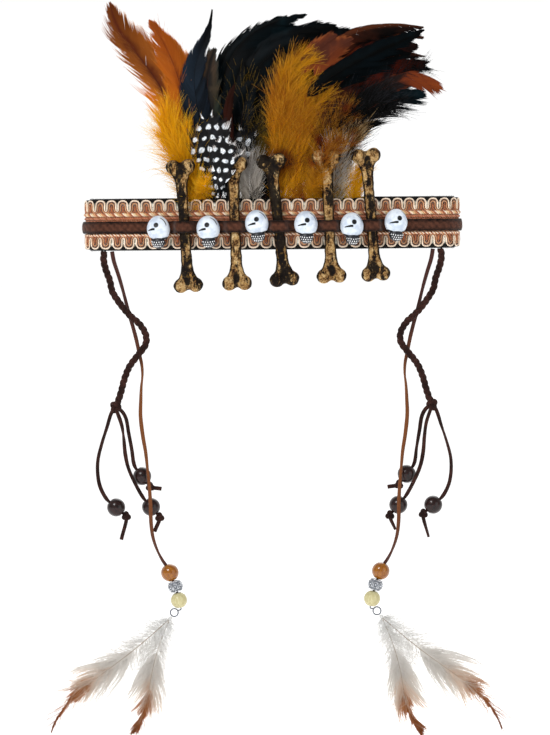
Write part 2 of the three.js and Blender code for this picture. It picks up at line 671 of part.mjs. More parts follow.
// One temple's hangings. The wearer's right is side -1, the left half of the front view.
function addSide(side) {
  const suffix = sideNames[side];
  const along = (route) => route.map((p) => onSide(p, side));
  const knot = ballAt(onSide(mainKnot, side), knotDiameter, 1.1);
  const braid = tubeAlong(along(braidRoute), braidDiameter);
  addPiece(`tie_braid_${suffix}`, joinedUp([braid, knot]), darkSuede);

  strands.forEach(({ name, bead, beadAlong, tail, route }) => {
    const radius = darkBeadDiameter / 2;
    const reach = radius + endKnotDiameter / 2 + gap;
    const through = throughBead(bead, beadAlong, [-radius - 2, 0, radius, reach]);
    const knotAt = through[through.length - 1];
    const lace = tubeAlong(along([...route, ...through]), laceDiameter);
    const loose = tubeAlong(along([knotAt, tail]), laceDiameter);
    const endKnot = ballAt(onSide(knotAt, side), endKnotDiameter);
    addPiece(`tie_strand_${name}_${suffix}`, joinedUp([lace, endKnot, loose]), darkSuede);
    const shape = beadShape(darkBeadDiameter, darkBeadDiameter);
    addBead(`dark_bead_${name}_${suffix}`, shape, bead, beadAlong, side, darkWood);
  });

  addPiece(`pendant_lace_${suffix}`, tubeAlong(along(pendantRoute), laceDiameter), tanLeather);
  pendantBeads.forEach(({ name, at, along: way, colour }) => {
    const shape = beadShape(...beadSizes[name]);
    addBead(`${name}_${suffix}`, shape, at, way, side, colour);
  });

  // The eye pin: a post in the last bead's hole, bent into a loop below it
  const last = pendantBeads[pendantBeads.length - 1];
  const loopReach = creamBeadDiameter / 2 + gap + (eyeLoopDiameter + wireDiameter) / 2;
  const loopWay = [-3.2, -8.2];
  const [loopAt] = throughBead(last.at, loopWay, [loopReach]);
  const post = throughBead(last.at, last.along, [1.5, creamBeadDiameter / 2 + wireDiameter]);
  const loopCentre = onSide(loopAt, side);
  const eyeLoop = new THREE.TorusGeometry(eyeLoopDiameter / 2, wireDiameter / 2, 5, 10);
  eyeLoop.rotateX(Math.PI / 2).translate(loopCentre.x, loopCentre.y, loopCentre.z);
  const bend = throughBead(loopAt, [0.85, 0.55], [eyeLoopDiameter / 2])[0];
  const pin = tubeAlong(along([...post, bend]), wireDiameter);
  addPiece(`eye_pin_${suffix}`, joinedUp([pin, eyeLoop]), silverMetal);

  // Two white feathers bound together just under the loop
  const bindReach = (eyeLoopDiameter + wireDiameter + bindingDiameter) / 2 + gap;
  const [bindAt] = throughBead(loopAt, [-0.65, -0.9], [bindReach]);
  const bind = onSide(bindAt, side);
  const plumes = pendantFeathers.map(({ length, width, headings, forward }) => {
    const turned = headings.map((h) => h * -side);
    const depthAt = (_x, _z, t) => bind.y - forward * t;
    const line = featherLine(bind, length * pendantLength, turned, [bindingDiameter], depthAt);
    return blade(line, width * featherWidth, "plume");
  });
  addPiece(`pendant_plume_${suffix}`, joinedUp([ballAt(bind, bindingDiameter), ...plumes]), whiteFeather);
}

const pendantLength = 110;
const pendantFeathers = [
  { length: 1, width: 1.05, forward: 7, headings: [-132, -130, -126, -126, -137, -162] },
  { length: 0.75, width: 0.9, forward: -2, headings: [-154, -160, -166, -174, -160, -134] },
];

addSide(-1);
addSide(1);

export default headdress;
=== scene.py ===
# %% [markdown]
# # A feathered headdress
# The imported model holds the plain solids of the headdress: a felt loop, a gimp trim, five bones,
# six skull beads, nineteen crest feathers, and the ties that hang at the temples. This lesson
# loads it as a fixed frame and dresses each solid with the form and the finish of the real thing.
# Everything is worked out in millimetres and turned into metres as a mesh is made.

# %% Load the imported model
import math

import bpy
import numpy as np
from mathutils import Matrix, Quaternion, Vector


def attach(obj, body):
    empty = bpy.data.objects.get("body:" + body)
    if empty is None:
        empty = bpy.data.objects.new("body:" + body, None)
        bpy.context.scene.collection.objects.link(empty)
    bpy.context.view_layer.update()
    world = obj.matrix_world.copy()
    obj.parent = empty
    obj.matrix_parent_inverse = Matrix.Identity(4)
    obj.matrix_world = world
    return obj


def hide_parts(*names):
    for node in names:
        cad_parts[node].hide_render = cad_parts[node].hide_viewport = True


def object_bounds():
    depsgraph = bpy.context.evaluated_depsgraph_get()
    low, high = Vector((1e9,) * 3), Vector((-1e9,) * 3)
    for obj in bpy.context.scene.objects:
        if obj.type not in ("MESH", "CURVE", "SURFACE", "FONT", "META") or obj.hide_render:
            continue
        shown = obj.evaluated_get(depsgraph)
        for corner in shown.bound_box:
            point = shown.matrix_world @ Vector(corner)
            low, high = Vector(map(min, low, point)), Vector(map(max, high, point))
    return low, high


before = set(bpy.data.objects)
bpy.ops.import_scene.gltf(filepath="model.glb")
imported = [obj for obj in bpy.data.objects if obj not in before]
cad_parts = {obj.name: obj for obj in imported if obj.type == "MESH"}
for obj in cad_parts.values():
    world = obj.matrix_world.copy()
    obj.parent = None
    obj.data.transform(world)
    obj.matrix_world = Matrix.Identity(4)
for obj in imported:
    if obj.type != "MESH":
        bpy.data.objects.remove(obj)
cad_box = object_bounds()
chance = np.random.default_rng(7)
MM = 0.001
print("solids in the frame:", len(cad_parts))

# %% [markdown]
# ## The camera
# The real headdress lies flat under a lens far above it, so nothing in it is foreshortened. A long
# lens a few metres off gives that look. It stands level with the band, so the back of the loop hides
# behind the front, and looks a little down, because the ties hang far below the band.

# %% Camera
LENS, SENSOR = 300, 36
FRONT_PLANE = -38.0
VIEW_HEIGHT = 485.1
AIM = Vector((1.0, 0, -96.0))
ROLL = 0.5
camera = bpy.data.objects.new("camera", bpy.data.cameras.new("camera"))
bpy.context.scene.collection.objects.link(camera)
camera.data.lens, camera.data.sensor_width = LENS, SENSOR
camera_at = Vector((AIM.x, FRONT_PLANE - VIEW_HEIGHT * LENS / SENSOR, 0))
camera.location = camera_at * MM
looking = (AIM - camera_at).to_track_quat("-Z", "Y")
rolled = Quaternion((0, 0, 1), math.radians(-ROLL))
camera.rotation_euler = (looking @ rolled).to_euler()
bpy.context.scene.camera = camera
print("camera at", [round(c, 3) for c in camera.location])

# %% [markdown]
# ## Shader maths as expressions
# A finish is a graph of nodes, but most of its nodes only add, multiply or compare. `Wire` wraps one
# socket and turns Python's operators into Math nodes, so a mask reads like a formula. `Finish` owns
# one material and makes every other node through a single method.

# %% Wire and Finish
class Wire:
    def __init__(self, finish, socket):
        self.finish, self.socket = finish, socket

    def maths(self, operation, *values):
        sockets = dict(enumerate(values))
        return self.finish.node("Math", {"operation": operation}, sockets)

    def __add__(self, other):
        return self.maths("ADD", self, other)

    def __sub__(self, other):
        return self.maths("SUBTRACT", self, other)

    def __rsub__(self, other):
        return self.maths("SUBTRACT", other, self)

    def __mul__(self, other):
        return self.maths("MULTIPLY", self, other)

    def __truediv__(self, other):
        return self.maths("DIVIDE", self, other)

    def __pow__(self, other):
        return self.maths("POWER", self, other)

    __radd__, __rmul__ = __add__, __mul__


def paint(code):
    """A colour written as six hexadecimal digits, as the linear colour that nodes work with."""
    shares = [int(code[i:i + 2], 16) / 255 for i in (0, 2, 4)]
    linear = [c / 12.92 if c < 0.04045 else ((c + 0.055) / 1.055) ** 2.4 for c in shares]
    return (*linear, 1.0)


class Graph:
    """The nodes of a material or of the sky."""

    def __init__(self, holder):
        holder.use_nodes = True
        self.nodes, self.links = holder.node_tree.nodes, holder.node_tree.links

    def node(self, kind, settings, sockets, out=0):
        made = self.nodes.new("ShaderNode" + kind)
        for key, value in settings.items():
            if key == "stops":
                while len(made.color_ramp.elements) < len(value):
                    made.color_ramp.elements.new(0.5)
                for element, (place, colour) in zip(made.color_ramp.elements, value):
                    element.position, element.color = place, colour
            else:
                setattr(made, key, value)
        for key, value in sockets.items():
            if isinstance(value, Wire):
                self.links.new(value.socket, made.inputs[key])
            else:
                made.inputs[key].default_value = value
        return Wire(self, made.outputs[out])

    def rise(self, value, low, high):
        """0 below low and 1 above high, with a smooth climb; low may be the larger."""
        return self.node("MapRange", {"interpolation_type": "SMOOTHSTEP"},
                         {"Value": value, "From Min": low, "From Max": high})


class Finish(Graph):
    def __init__(self, name):
        self.material = bpy.data.materials.new(name)
        super().__init__(self.material)
        self.shader = self.nodes["Principled BSDF"]

    def place(self):
        return self.node("TexCoord", {}, {}, "Object")

    def axis(self, which):
        return self.node("SeparateXYZ", {}, {0: self.place()}, which)

    def mark(self, name):
        return self.node("Attribute", {"attribute_name": name}, {}, "Fac")

    def stretched(self, x, y, z):
        return self.node("VectorMath", {"operation": "MULTIPLY"}, {0: self.place(), 1: (x, y, z)})

    def noise(self, scale, detail=2.0, at=None, roughness=0.5):
        return self.node("TexNoise", {}, {"Vector": at or self.place(), "Scale": scale,
                                          "Detail": detail, "Roughness": roughness})

    def cells(self, scale, at=None, feature="F1"):
        return self.node("TexVoronoi", {"feature": feature}, {"Vector": at or self.place(), "Scale": scale})

    def mix(self, first, second, mask):
        return self.node("Mix", {"data_type": "RGBA"}, {0: mask, 6: first, 7: second}, 2)

    def ramp(self, value, stops):
        return self.node("ValToRGB", {"stops": [(p, paint(c)) for p, c in stops]}, {0: value})

    def bump(self, height, depth, strength=1.0):
        return self.node("Bump", {}, {"Height": height, "Distance": depth * MM, "Strength": strength})

    def surface(self, **sockets):
        for key, value in sockets.items():
            socket = self.shader.inputs[key.replace("_", " ")]
            if isinstance(value, Wire):
                self.links.new(value.socket, socket)
            else:
                socket.default_value = value
        return self.material


# %% [markdown]
# ## Light and floor
# A white sky lights every side, as a light tent does, and is brighter behind the piece. One lamp
# from the upper left and weaker ones from the right and from behind give the beads and the bones a
# bright side and a dark side. The floor glows a little, which keeps it white under the piece.

# %% Sky and lamps
LAMPS_AIM = Vector((0, 0, -0.05))


def soft_lamp(name, place, watts, width):
    lamp = bpy.data.lights.new(name, "AREA")
    lamp.energy, lamp.size = watts, width
    holder = bpy.data.objects.new(name, lamp)
    bpy.context.scene.collection.objects.link(holder)
    holder.location = place
    holder.rotation_euler = (LAMPS_AIM - Vector(place)).to_track_quat("-Z", "Y").to_euler()


sky = bpy.data.worlds.new("white_sky")
bpy.context.scene.world = sky
sky_graph = Graph(sky)
toward = sky_graph.node("SeparateXYZ", {}, {0: sky_graph.node("TexCoord", {}, {}, "Generated")}, "Y")
background = sky_graph.nodes["Background"]
background.inputs["Color"].default_value = (1, 1, 1, 1)
brightness = 0.42 + sky_graph.rise(toward, -0.1, 0.5) * 0.6
sky_graph.links.new(brightness.socket, background.inputs["Strength"])
soft_lamp("key", (-0.9, -1.5, 1.2), 24, 0.6)
soft_lamp("fill", (1.4, -1.3, 0.2), 6, 1.2)
soft_lamp("behind", (0.3, 1.4, 1.0), 6, 1.0)
bpy.context.scene.view_settings.view_transform = "Standard"
print("lamps:", [lamp.name for lamp in bpy.data.lights])

# %% Floor
BELOW_THE_PIECE, FLOOR_REACH = 0.012, 30.0
floor_height = cad_box[0][2] - BELOW_THE_PIECE
floor_mesh = bpy.data.meshes.new("floor")
corners = [(-FLOOR_REACH, -FLOOR_REACH), (FLOOR_REACH, -FLOOR_REACH), (FLOOR_REACH, FLOOR_REACH),
           (-FLOOR_REACH, FLOOR_REACH)]
floor_mesh.from_pydata([(x, y, floor_height) for x, y in corners], [], [(0, 1, 2, 3)])
floor = bpy.data.objects.new("floor", floor_mesh)
bpy.context.scene.collection.objects.link(floor)
print("floor at", round(floor_height, 3))

white_floor = Finish("pale_floor")
floor_mesh.materials.append(white_floor.surface(
    Base_Color=white_floor.mix(paint("f4f4f3"), paint("fafafa"), white_floor.noise(3.0)), Roughness=0.9,
    Emission_Color=(1, 1, 1, 1), Emission_Strength=0.5))

# %% [markdown]
# ## Parts of a mesh
# A piece is built from parts: arrays of points and lists of faces, with marks. A mark is a number on
# every point, such as how far along its barb it lies, and the finishes read it back by name. Sweeping
# a section along a line makes cords, wires, laces and quills, so one function does for all of them.

# %% Mesh helpers
class Part:
    def __init__(self, points, faces, finish=0, **marks):
        self.points, self.faces, self.finish, self.marks = np.asarray(points, float), faces, finish, marks


def joined(parts):
    """The points of several parts, and their faces, in one list each."""
    faces, start = [], 0
    for part in parts:
        faces += [[start + i for i in face] for face in part.faces]
        start += len(part.points)
    return np.vstack([part.points for part in parts]), faces


def piece(name, parts, finishes, slot, stands_for):
    """One object in metres from parts in millimetres, riding on the root body."""
    points, faces = joined(parts)
    mesh = bpy.data.meshes.new(name)
    mesh.from_pydata((points * MM).tolist(), [], faces)
    mesh.polygons.foreach_set("material_index", [part.finish for part in parts for _ in part.faces])
    for key in sorted({k for part in parts for k in part.marks}):
        values = [np.broadcast_to(part.marks.get(key, 0.0), len(part.points)) for part in parts]
        values = np.concatenate(values).astype(np.float32)
        mesh.attributes.new(key, "FLOAT", "POINT").data.foreach_set("value", values)
    for finish in finishes:
        mesh.materials.append(finish)
    mesh.shade_smooth()
    made = bpy.data.objects.new(name, mesh)
    bpy.context.scene.collection.objects.link(made)
    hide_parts(*stands_for)
    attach(made, "root")
    return made


# %% [markdown]
# Two jobs come back all the time: turning rings of points into the quads of a tube, and measuring how
# far along a line each of its points lies. Both are functions here, and so is the smooth step that
# every soft start and stop in this lesson uses.

# %% Lines and tubes
def unit(vectors):
    return vectors / np.maximum(np.linalg.norm(vectors, axis=-1, keepdims=True), 1e-9)


def run_along(line):
    """How far along a line each of its points lies."""
    return np.concatenate([[0], np.cumsum(np.linalg.norm(np.diff(line, axis=0), axis=1))])


def eased(t):
    return t * t * (3 - 2 * t)


def tube_faces(count, sides, closed=True, inward=False):
    """Quads between rings; closed joins the last ring to the first, inward turns them over."""
    i, j = np.meshgrid(np.arange(count if closed else count - 1), np.arange(sides), indexing="ij")
    ahead, beside = (i + 1) % count, (j + 1) % sides
    quads = np.stack([i * sides + j, i * sides + beside, ahead * sides + beside, ahead * sides + j], -1)
    quads = quads.reshape(-1, 4)
    return (quads[:, [0, 3, 2, 1]] if inward else quads).tolist()


def frames_along(line, facing, closed=False):
    """Across, through and tangent at each point, with through turned towards facing."""
    if closed:
        tangent = unit(np.roll(line, -1, 0) - np.roll(line, 1, 0))
    else:
        tangent = unit(np.gradient(line, axis=0))
    facing = np.broadcast_to(facing, line.shape)
    through = unit(facing - np.sum(facing * tangent, 1, keepdims=True) * tangent)
    return np.cross(through, tangent), through, tangent


def round_turn(steps):
    return np.arange(steps) * 2 * np.pi / steps


def oval(width, thick, sides=8, square=1.0):
    """A ring of points round an oval; below 1, square fills its corners."""
    c, s = np.cos(round_turn(sides)), np.sin(round_turn(sides))
    return np.stack([np.sign(c) * abs(c) ** square * width / 2, np.sign(s) * abs(s) ** square * thick / 2], 1)


FRONT = (0, -1, 0)


def sweep(line, section, facing=FRONT, closed=False, **marks):
    """A section carried along a line. Its marks are along, in mm, and any that the caller adds."""
    line = np.asarray(line, float)
    across, through, _ = frames_along(line, facing, closed)
    section = np.broadcast_to(section, (len(line),) + np.shape(section)[-2:])
    rings = line[:, None] + section[..., :1] * across[:, None] + section[..., 1:] * through[:, None]
    count, sides = rings.shape[:2]
    faces = tube_faces(count, sides, closed)
    if not closed:
        faces.append(list(range(sides))[::-1])
        faces.append(list(range((count - 1) * sides, count * sides)))
    marks = {k: np.repeat(np.broadcast_to(v, count), sides) for k, v in marks.items()}
    return Part(rings.reshape(-1, 3), faces, along=np.repeat(run_along(line), sides), **marks)


def smooth_line(points, step):
    """The centripetal curve through the points, cut into even steps of about this length."""
    p = np.asarray(points, float)
    p = np.vstack([2 * p[0] - p[1], p, 2 * p[-1] - p[-2]])
    knots = np.linalg.norm(np.diff(p, axis=0), axis=1) ** 0.5
    fine = []
    for i in range(1, len(p) - 2):
        d0, d1, d2 = knots[i - 1:i + 2]
        t1 = ((p[i] - p[i - 1]) / d0 - (p[i + 1] - p[i - 1]) / (d0 + d1) + (p[i + 1] - p[i]) / d1) * d1
        t2 = ((p[i + 1] - p[i]) / d1 - (p[i + 2] - p[i]) / (d1 + d2) + (p[i + 2] - p[i + 1]) / d2) * d1
        u = np.linspace(0, 1, 24, endpoint=False)[:, None]
        fine.append((2 * u**3 - 3 * u**2 + 1) * p[i] + (u**3 - 2 * u**2 + u) * t1
                    + (3 * u**2 - 2 * u**3) * p[i + 1] + (u**3 - u**2) * t2)
    fine = np.vstack(fine + [p[-2:-1]])
    run = run_along(fine)
    even = np.linspace(0, run[-1], max(2, round(run[-1] / step)) + 1)
    return np.stack([np.interp(even, run, fine[:, k]) for k in range(3)], 1)


def length_of(line):
    return float(np.sum(np.linalg.norm(np.diff(line, axis=0), axis=1)))


def wander(count, period, size):
    """A smooth random walk about zero: one value for each of count steps."""
    knots = chance.normal(0, size, int(count / period) + 3)
    x = np.arange(count) / period
    i = x.astype(int)
    t = eased(x - i)
    return knots[i] * (1 - t) + knots[i + 1] * t


# %% [markdown]
# Beads, knobs and teeth are balls, and drilled beads are profiles turned on a lathe. Both are written
# as rings of points and not taken from Blender's primitives, so they can be pushed out of shape and
# joined into a part like all the rest.

# %% Ball and lathe
def ball(centre, radii, rows=14, columns=20, finish=0, **marks):
    """A closed oval ball."""
    u = np.linspace(0, np.pi, rows + 1)[1:-1]
    v = round_turn(columns)
    grid = np.stack([np.outer(np.sin(u), np.cos(v)), np.outer(np.sin(u), np.sin(v)),
                     np.outer(np.cos(u), np.ones(columns))], -1).reshape(-1, 3)
    points = np.vstack([grid, [[0, 0, 1], [0, 0, -1]]]) * radii + centre
    top, low = len(grid), len(grid) + 1
    faces = []
    for j in range(columns):
        k = (j + 1) % columns
        faces.append([top, j, k])
        faces.append([low, (rows - 2) * columns + k, (rows - 2) * columns + j])
        for i in range(rows - 2):
            faces.append([i * columns + j, (i + 1) * columns + j, (i + 1) * columns + k, i * columns + k])
    return Part(points, faces, finish, **marks)


def lathe(profile, columns=32, finish=0):
    """A profile of (radius, height) pairs turned about Z, closed on itself."""
    profile = np.asarray(profile, float)
    v = round_turn(columns)
    points = np.stack([np.outer(np.cos(v), profile[:, 0]), np.outer(np.sin(v), profile[:, 0]),
                       np.broadcast_to(profile[:, 1], (columns, len(profile)))], -1)
    return Part(points.reshape(-1, 3), tube_faces(columns, len(profile), inward=True), finish)


# %% [markdown]
# ## Suede and leather for the ties
# The ties are suede laces, three millimetres wide and a good millimetre thick. Suede has a short nap
# that the hand brushes light and dark, so its colour wanders, and its roughness is nearly full.

# %% Suede finishes
def suede(name, deep, worn_and_lit, nap=2600, wander_scale=160, pads=0.0):
    f = Finish(name)
    brushed = f.rise(f.noise(wander_scale, 3.0), 0.35, 0.7)
    grain = f.noise(nap, 3.0)
    pad_rise_and_shade = f.mark("pad")
    # Where pads is 1, as on the strip, this mix also holds painted shade: the raised pads are painted in the
    # lighter colour, and the valleys between them and the strip's top and bottom edges in the darker one.
    light = brushed * (0.6 - pads * 0.35) + grain * (0.4 - pads * 0.1) + (pad_rise_and_shade * 0.75 - 0.15) * pads
    return f.surface(Base_Color=f.mix(paint(deep), paint(worn_and_lit), light), Roughness=0.75 + grain * 0.2,
                     Normal=f.bump(grain + pad_rise_and_shade * pads * 2, 0.15), Sheen_Weight=0.08,
                     Sheen_Roughness=0.5, Specular_IOR_Level=0.08)


dark_suede = suede("dark_suede", "140a08", "40251f")
# On the strip the lighter colour is also painted light on the raised pads, and the darker one is painted shade
# in the valleys between them.
strip_suede = suede("strip_suede", "020101", "583527", 900, 420, 1.0)

rust_lace = Finish("rust_lace")
height = rust_lace.axis("Z")
lower = rust_lace.rise(height, -60 * MM, -110 * MM)
nap_grain = rust_lace.noise(2400, 3.0)
lace_colour = rust_lace.mix(
    rust_lace.mix(paint("2a1714"), paint("52302a"), nap_grain),
    rust_lace.mix(paint("4f2a14"), paint("834f2c"), nap_grain),
    lower * rust_lace.rise(height, -235 * MM, -175 * MM))
rust_lace = rust_lace.surface(Base_Color=lace_colour, Roughness=0.7, Normal=rust_lace.bump(nap_grain, 0.1),
                              Sheen_Weight=0.05, Specular_IOR_Level=0.1)
print("laces:", dark_suede.name, strip_suede.name, rust_lace.name)

# %% [markdown]
# ## The hanging cords
# At each temple a tie of three laces is braided, ends in a knot, and goes on as three single strands.
# Beside it hangs one lace with three beads and two feathers. They are cords: each has a length, a
# width, and a route that it keeps under its own weight. The routes are those of the solids, so the
# laces hang where the solids do. A lace is flat, and it turns over as it hangs, which a round cord
# would not show.

# %% Routes of the left side, in millimetres
HANG_FRONT, HANG_TOP = -18.96, -17.7
BRAID_ROUTE = [
    (-111.5, -17.7, 0), (-112, -23, 0), (-110.5, -30, .5), (-108, -37, .5), (-106.5, -44, .5), (-103, -50, 1),
    (-98.5, -56, 2), (-94, -61, 2.5), (-88.5, -66, 2), (-84.5, -73, 1), (-84.5, -79, 1), (-88.5, -85, 2),
    (-93, -90.5, 2), (-96, -95, 1), (-99, -102.5, .5), (-101, -110, 0), (-103.3, -117, 0), (-105.2, -121, 0)]
PENDANT_ROUTE = [
    (-106.3, -17.7, 2.5), (-105.2, -24, 1.6), (-102.4, -33, .2), (-99.7, -42.5, -1.4), (-97.7, -50.5, -2.5),
    (-95.7, -58.5, -3), (-93, -68, -3), (-90.6, -77.5, -2.5), (-89, -85.5, -2.5), (-87.4, -93, -1.5),
    (-87, -100, 0), (-87.8, -108, 1), (-88.2, -117, 2), (-88.4, -127, 3), (-87, -140, 4), (-85.2, -151, 5),
    (-84, -163, 5.5), (-82.9, -175, 5.5), (-82.3, -186, 5.5), (-82.1, -197, 4.5), (-81, -207, 3),
    (-78.2, -216, 1.5), (-75, -222.5, .5), (-72.2, -226.8, 0), (-70, -231.2, 0), (-68.1, -235.6, 0),
    (-66.5, -240.2, 0), (-65.2, -244.8, 0), (-64.2, -248.2, 0)]
MAIN_KNOT = (-105.2, -121, 0)
STRANDS = {  # route from the knot, middle of the bead, way through the bead, tip of the tail
    "outer": ([(-107.6, -124.4, 0), (-110.9, -134.5, 0), (-114.3, -145, 0), (-117, -156, 0),
               (-117.2, -165.5, 0), (-115.6, -174, 0)], (-105.2, -187.5, 0), (.75, -.66), (-102, -209, 0)),
    "middle": ([(-103.6, -125.2, .5), (-101, -133, 1), (-99.7, -142, 1.5), (-98.8, -152, 2), (-96.9, -161, 3),
                (-93.4, -169.5, 2.6)], (-82.1, -187.5, -2.5), (.64, -.77), (-80, -204, -2.5)),
    "inner": ([(-101.4, -123.2, -1), (-98.4, -128, -1.5), (-96.5, -138.3, -2), (-94.6, -149, -2.5)],
              (-87.8, -167, -2.5), (.6, -.8), (-75, -175.5, -2.5))}


def on_side(points, side):
    """Chosen (x, z, forward) points of the left side, as places on this side."""
    p = np.atleast_2d(np.asarray(points, float))
    return np.stack([-side * p[:, 0], HANG_FRONT - p[:, 2], p[:, 1]], 1)


def through_bead(at, way, distances):
    way = np.array(way) / np.hypot(*way)
    return [(at[0] + way[0] * d, at[1] + way[1] * d, at[2]) for d in distances]


print("braid points:", len(BRAID_ROUTE), "pendant points:", len(PENDANT_ROUTE))

# %% [markdown]
# A braid is three flat laces that swing across one another. Seen along the tie, each follows a figure
# of eight: once across and twice in depth for every turn, a third of a turn after the one before.

# %% Braid, lace and knot
def braid(line, width, thick, swing, depth, period):
    """Three strands round a line: swing to each side, depth to and fro, over each period."""
    across, through, _ = frames_along(line, FRONT)
    strands = []
    for k in range(3):
        turn = 2 * np.pi * (run_along(line) / period + k / 3)
        path = line + across * (swing * np.sin(turn))[:, None] + through * (depth * np.sin(2 * turn))[:, None]
        strands.append(sweep(path, oval(width, thick, 8, 0.7)))
    return strands


def flat_lace(line, wide, turns, width, thick):
    """A flat lace whose face turns from the front by the given angles; wide scales it on its way."""
    face = np.stack([np.sin(turns), -np.cos(turns), 0 * turns], 1)
    return sweep(line, oval(width, thick, 8, 0.45)[None] * wide[:, None, None], face)


def knot(centre, size, thick, turned=0.0):
    """A trefoil of lace drawn tight, which is what a knot in a lace looks like from outside."""
    t = round_turn(72)
    x, y, z = np.sin(t) + 2 * np.sin(2 * t), -np.sin(3 * t) * 1.1, np.cos(t) - 2 * np.cos(2 * t)
    c, s = math.cos(turned), math.sin(turned)
    line = np.stack([x * c - z * s, y, x * s + z * c], 1) * size / 6
    return sweep(line + centre, oval(thick, thick * 0.8), (0.3, -1, 0.2), closed=True)


# %% [markdown]
# Every tie hangs twice, once at each temple, so one loop makes both sides. The strands and the pendant
# lace keep turning their flat faces as they hang; near a bead they lie still and narrow, as they pass
# through its hole.

# %% Ties and laces
SIDES = {"left": -1, "right": 1}
BRAID_WIDE, STRAND_WIDE, LACE_WIDE = 4.7, 2.7, 2.8
LACE_TURNS = [0, .12, .25, .37, .5, .62, .75, .86, 1], [0, .9, .3, 1.3, .2, 1.1, .4, 1.2, 0]
cord_pieces, cord_lines = {}, {}


def hang(label, line, parts, finish, slot):
    cord_lines[label] = line
    cord_pieces[label] = piece(label + "_suede", parts, [finish], slot, [label])


for name, side in SIDES.items():
    line = smooth_line(on_side(BRAID_ROUTE, side), 0.7)
    main_knot = knot(on_side(MAIN_KNOT, side)[0], 6.4, 2.2, 0.4 * side)
    hang("tie_braid_" + name, line, braid(line, 2.3, 1.7, 1.25, 0.75, 11.5) + [main_knot], dark_suede, "suede")
    for strand, (route, bead, way, tail) in STRANDS.items():
        through = through_bead(bead, way, (-8.05, 0, 6.05, 8.85))
        line = smooth_line(on_side([MAIN_KNOT] + route + through + [tail], side), 0.9)
        share = np.linspace(0, 1, len(line))
        to_bead = np.linalg.norm(line - on_side(bead, side)[0], axis=1)
        turns = np.interp(share, [0, .2, .45, .7, 1], chance.uniform(-1.3, 1.3, 5))
        turns = turns * np.clip(to_bead / 12 - .3, 0, 1)
        lace = flat_lace(line, np.interp(to_bead, [5, 9], [1.7, STRAND_WIDE]), turns, 1, 0.45)
        end_knot = knot(on_side(through[-1:], side)[0], 4.9, 1.9, side)
        hang(f"tie_strand_{strand}_{name}", line, [lace, end_knot], dark_suede, "suede")
    line = smooth_line(on_side(PENDANT_ROUTE, side), 0.9)
    share = np.linspace(0, 1, len(line))
    turns = side * np.interp(share, *LACE_TURNS)
    narrow = np.interp(share, [.9, .93], [1, .6])
    hang("pendant_lace_" + name, line, [flat_lace(line, narrow, turns, LACE_WIDE, 1.1)], rust_lace, "lace")
print({k: round(length_of(v)) for k, v in cord_lines.items()})

# %% [markdown]
# ## Round the band
# Everything on the band follows one loop: two long flat arcs and two tight ends. It is easier to lay
# a trim out flat and then wrap it round, so `wrap` takes how far along the felt a point lies, how far
# it stands out from the felt's face, and its height, and gives the place on the loop.

# %% The loop of the felt's outer face
END_ARC, END_CENTRE, LONG_ARC, LONG_CENTRE = 22.4, 99.0, 256.15, 211.75
END_TURN = math.atan2(END_CENTRE, LONG_CENTRE)
half_long, whole_end = LONG_ARC * END_TURN, END_ARC * (math.pi - 2 * END_TURN)
LOOP = 4 * half_long + 2 * whole_end
stations = np.cumsum([0, half_long, whole_end, 2 * half_long, whole_end, half_long])
station_turns = [0, END_TURN, math.pi - END_TURN, math.pi + END_TURN, 2 * math.pi - END_TURN, 2 * math.pi]


def wrap(along, out, height):
    turn = np.interp(np.mod(along, LOOP), stations, station_turns)
    away, back = np.sin(turn), -np.cos(turn)
    on_end = abs(away) > math.sin(END_TURN)
    centre_x = np.where(on_end, np.sign(away) * END_CENTRE, 0)
    centre_y = np.where(on_end, 0, -np.sign(back) * LONG_CENTRE)
    radius = np.where(on_end, END_ARC, LONG_ARC) + out
    return np.stack([centre_x + radius * away, centre_y + radius * back, height + 0 * radius], -1)


def wrapped(part):
    """A part laid out flat, with x along the felt, -y out from it and z up, put round the loop."""
    flat = part.points
    part.points = wrap(flat[:, 0], -flat[:, 1], flat[:, 2])
    return part


def round_the_loop(steps):
    return np.arange(steps) * LOOP / steps


print("loop length:", round(LOOP, 1), "mm")

# %% [markdown]
# ## Felt backing
# The backing is a band of black craft felt. Only its edge shows from the front, but the whole inside
# of the loop is bare felt. Its edges are rounded, its face is slightly uneven, and short fibres stand
# off the edge, which is what tells felt from plastic.

# %% Felt
def felt_finish():
    f = Finish("black_felt")
    fibres = f.noise(900, 4.0, roughness=0.7)
    pills = f.noise(260, 3.0)
    colour = f.mix(paint("0b0a0b"), paint("2a2626"), f.rise(fibres * 0.6 + pills * 0.4, 0.4, 0.68))
    return f.surface(Base_Color=colour, Roughness=0.95, Normal=f.bump(fibres * 0.7 + pills * 0.6, 0.35),
                     Sheen_Weight=0.3, Specular_IOR_Level=0.15)


FELT_HALF, FELT_THICK, FELT_CORNER, FELT_STEPS = 17.3, 1.6, 0.5, 360
felt = felt_finish()
along = round_the_loop(FELT_STEPS)
low_corner, high_edge = FELT_HALF - FELT_CORNER, FELT_HALF - 0.1
edge = [(0.0, low_corner), (-0.35, high_edge), (0.35 - FELT_THICK, high_edge), (-FELT_THICK, low_corner)]
heights = np.linspace(-low_corner, low_corner, 10)[1:-1]
ring = [(o, -z) for o, z in edge][::-1] + [(0.0, z) for z in heights] + edge
ring = np.array(ring + [(-FELT_THICK, z) for z in heights[::-1]])
uneven = np.stack([wander(FELT_STEPS, 5, 0.035) for _ in ring], 1) * (ring[:, 0] < -0.3)
grid = wrap(along[:, None], ring[None, :, 0] + uneven, ring[None, :, 1] * (1 + 0 * along[:, None]))
felt_part = Part(grid.reshape(-1, 3), tube_faces(*grid.shape[:2], inward=True))
print("felt faces:", len(felt_part.faces))

# %% [markdown]
# The fluff is a few hundred single fibres on each edge. Hair particles would look the same but leave
# no mesh to export, so each fibre is a bent blade of two small quads.

# %% Fluff on the edges
FIBRES = 1100


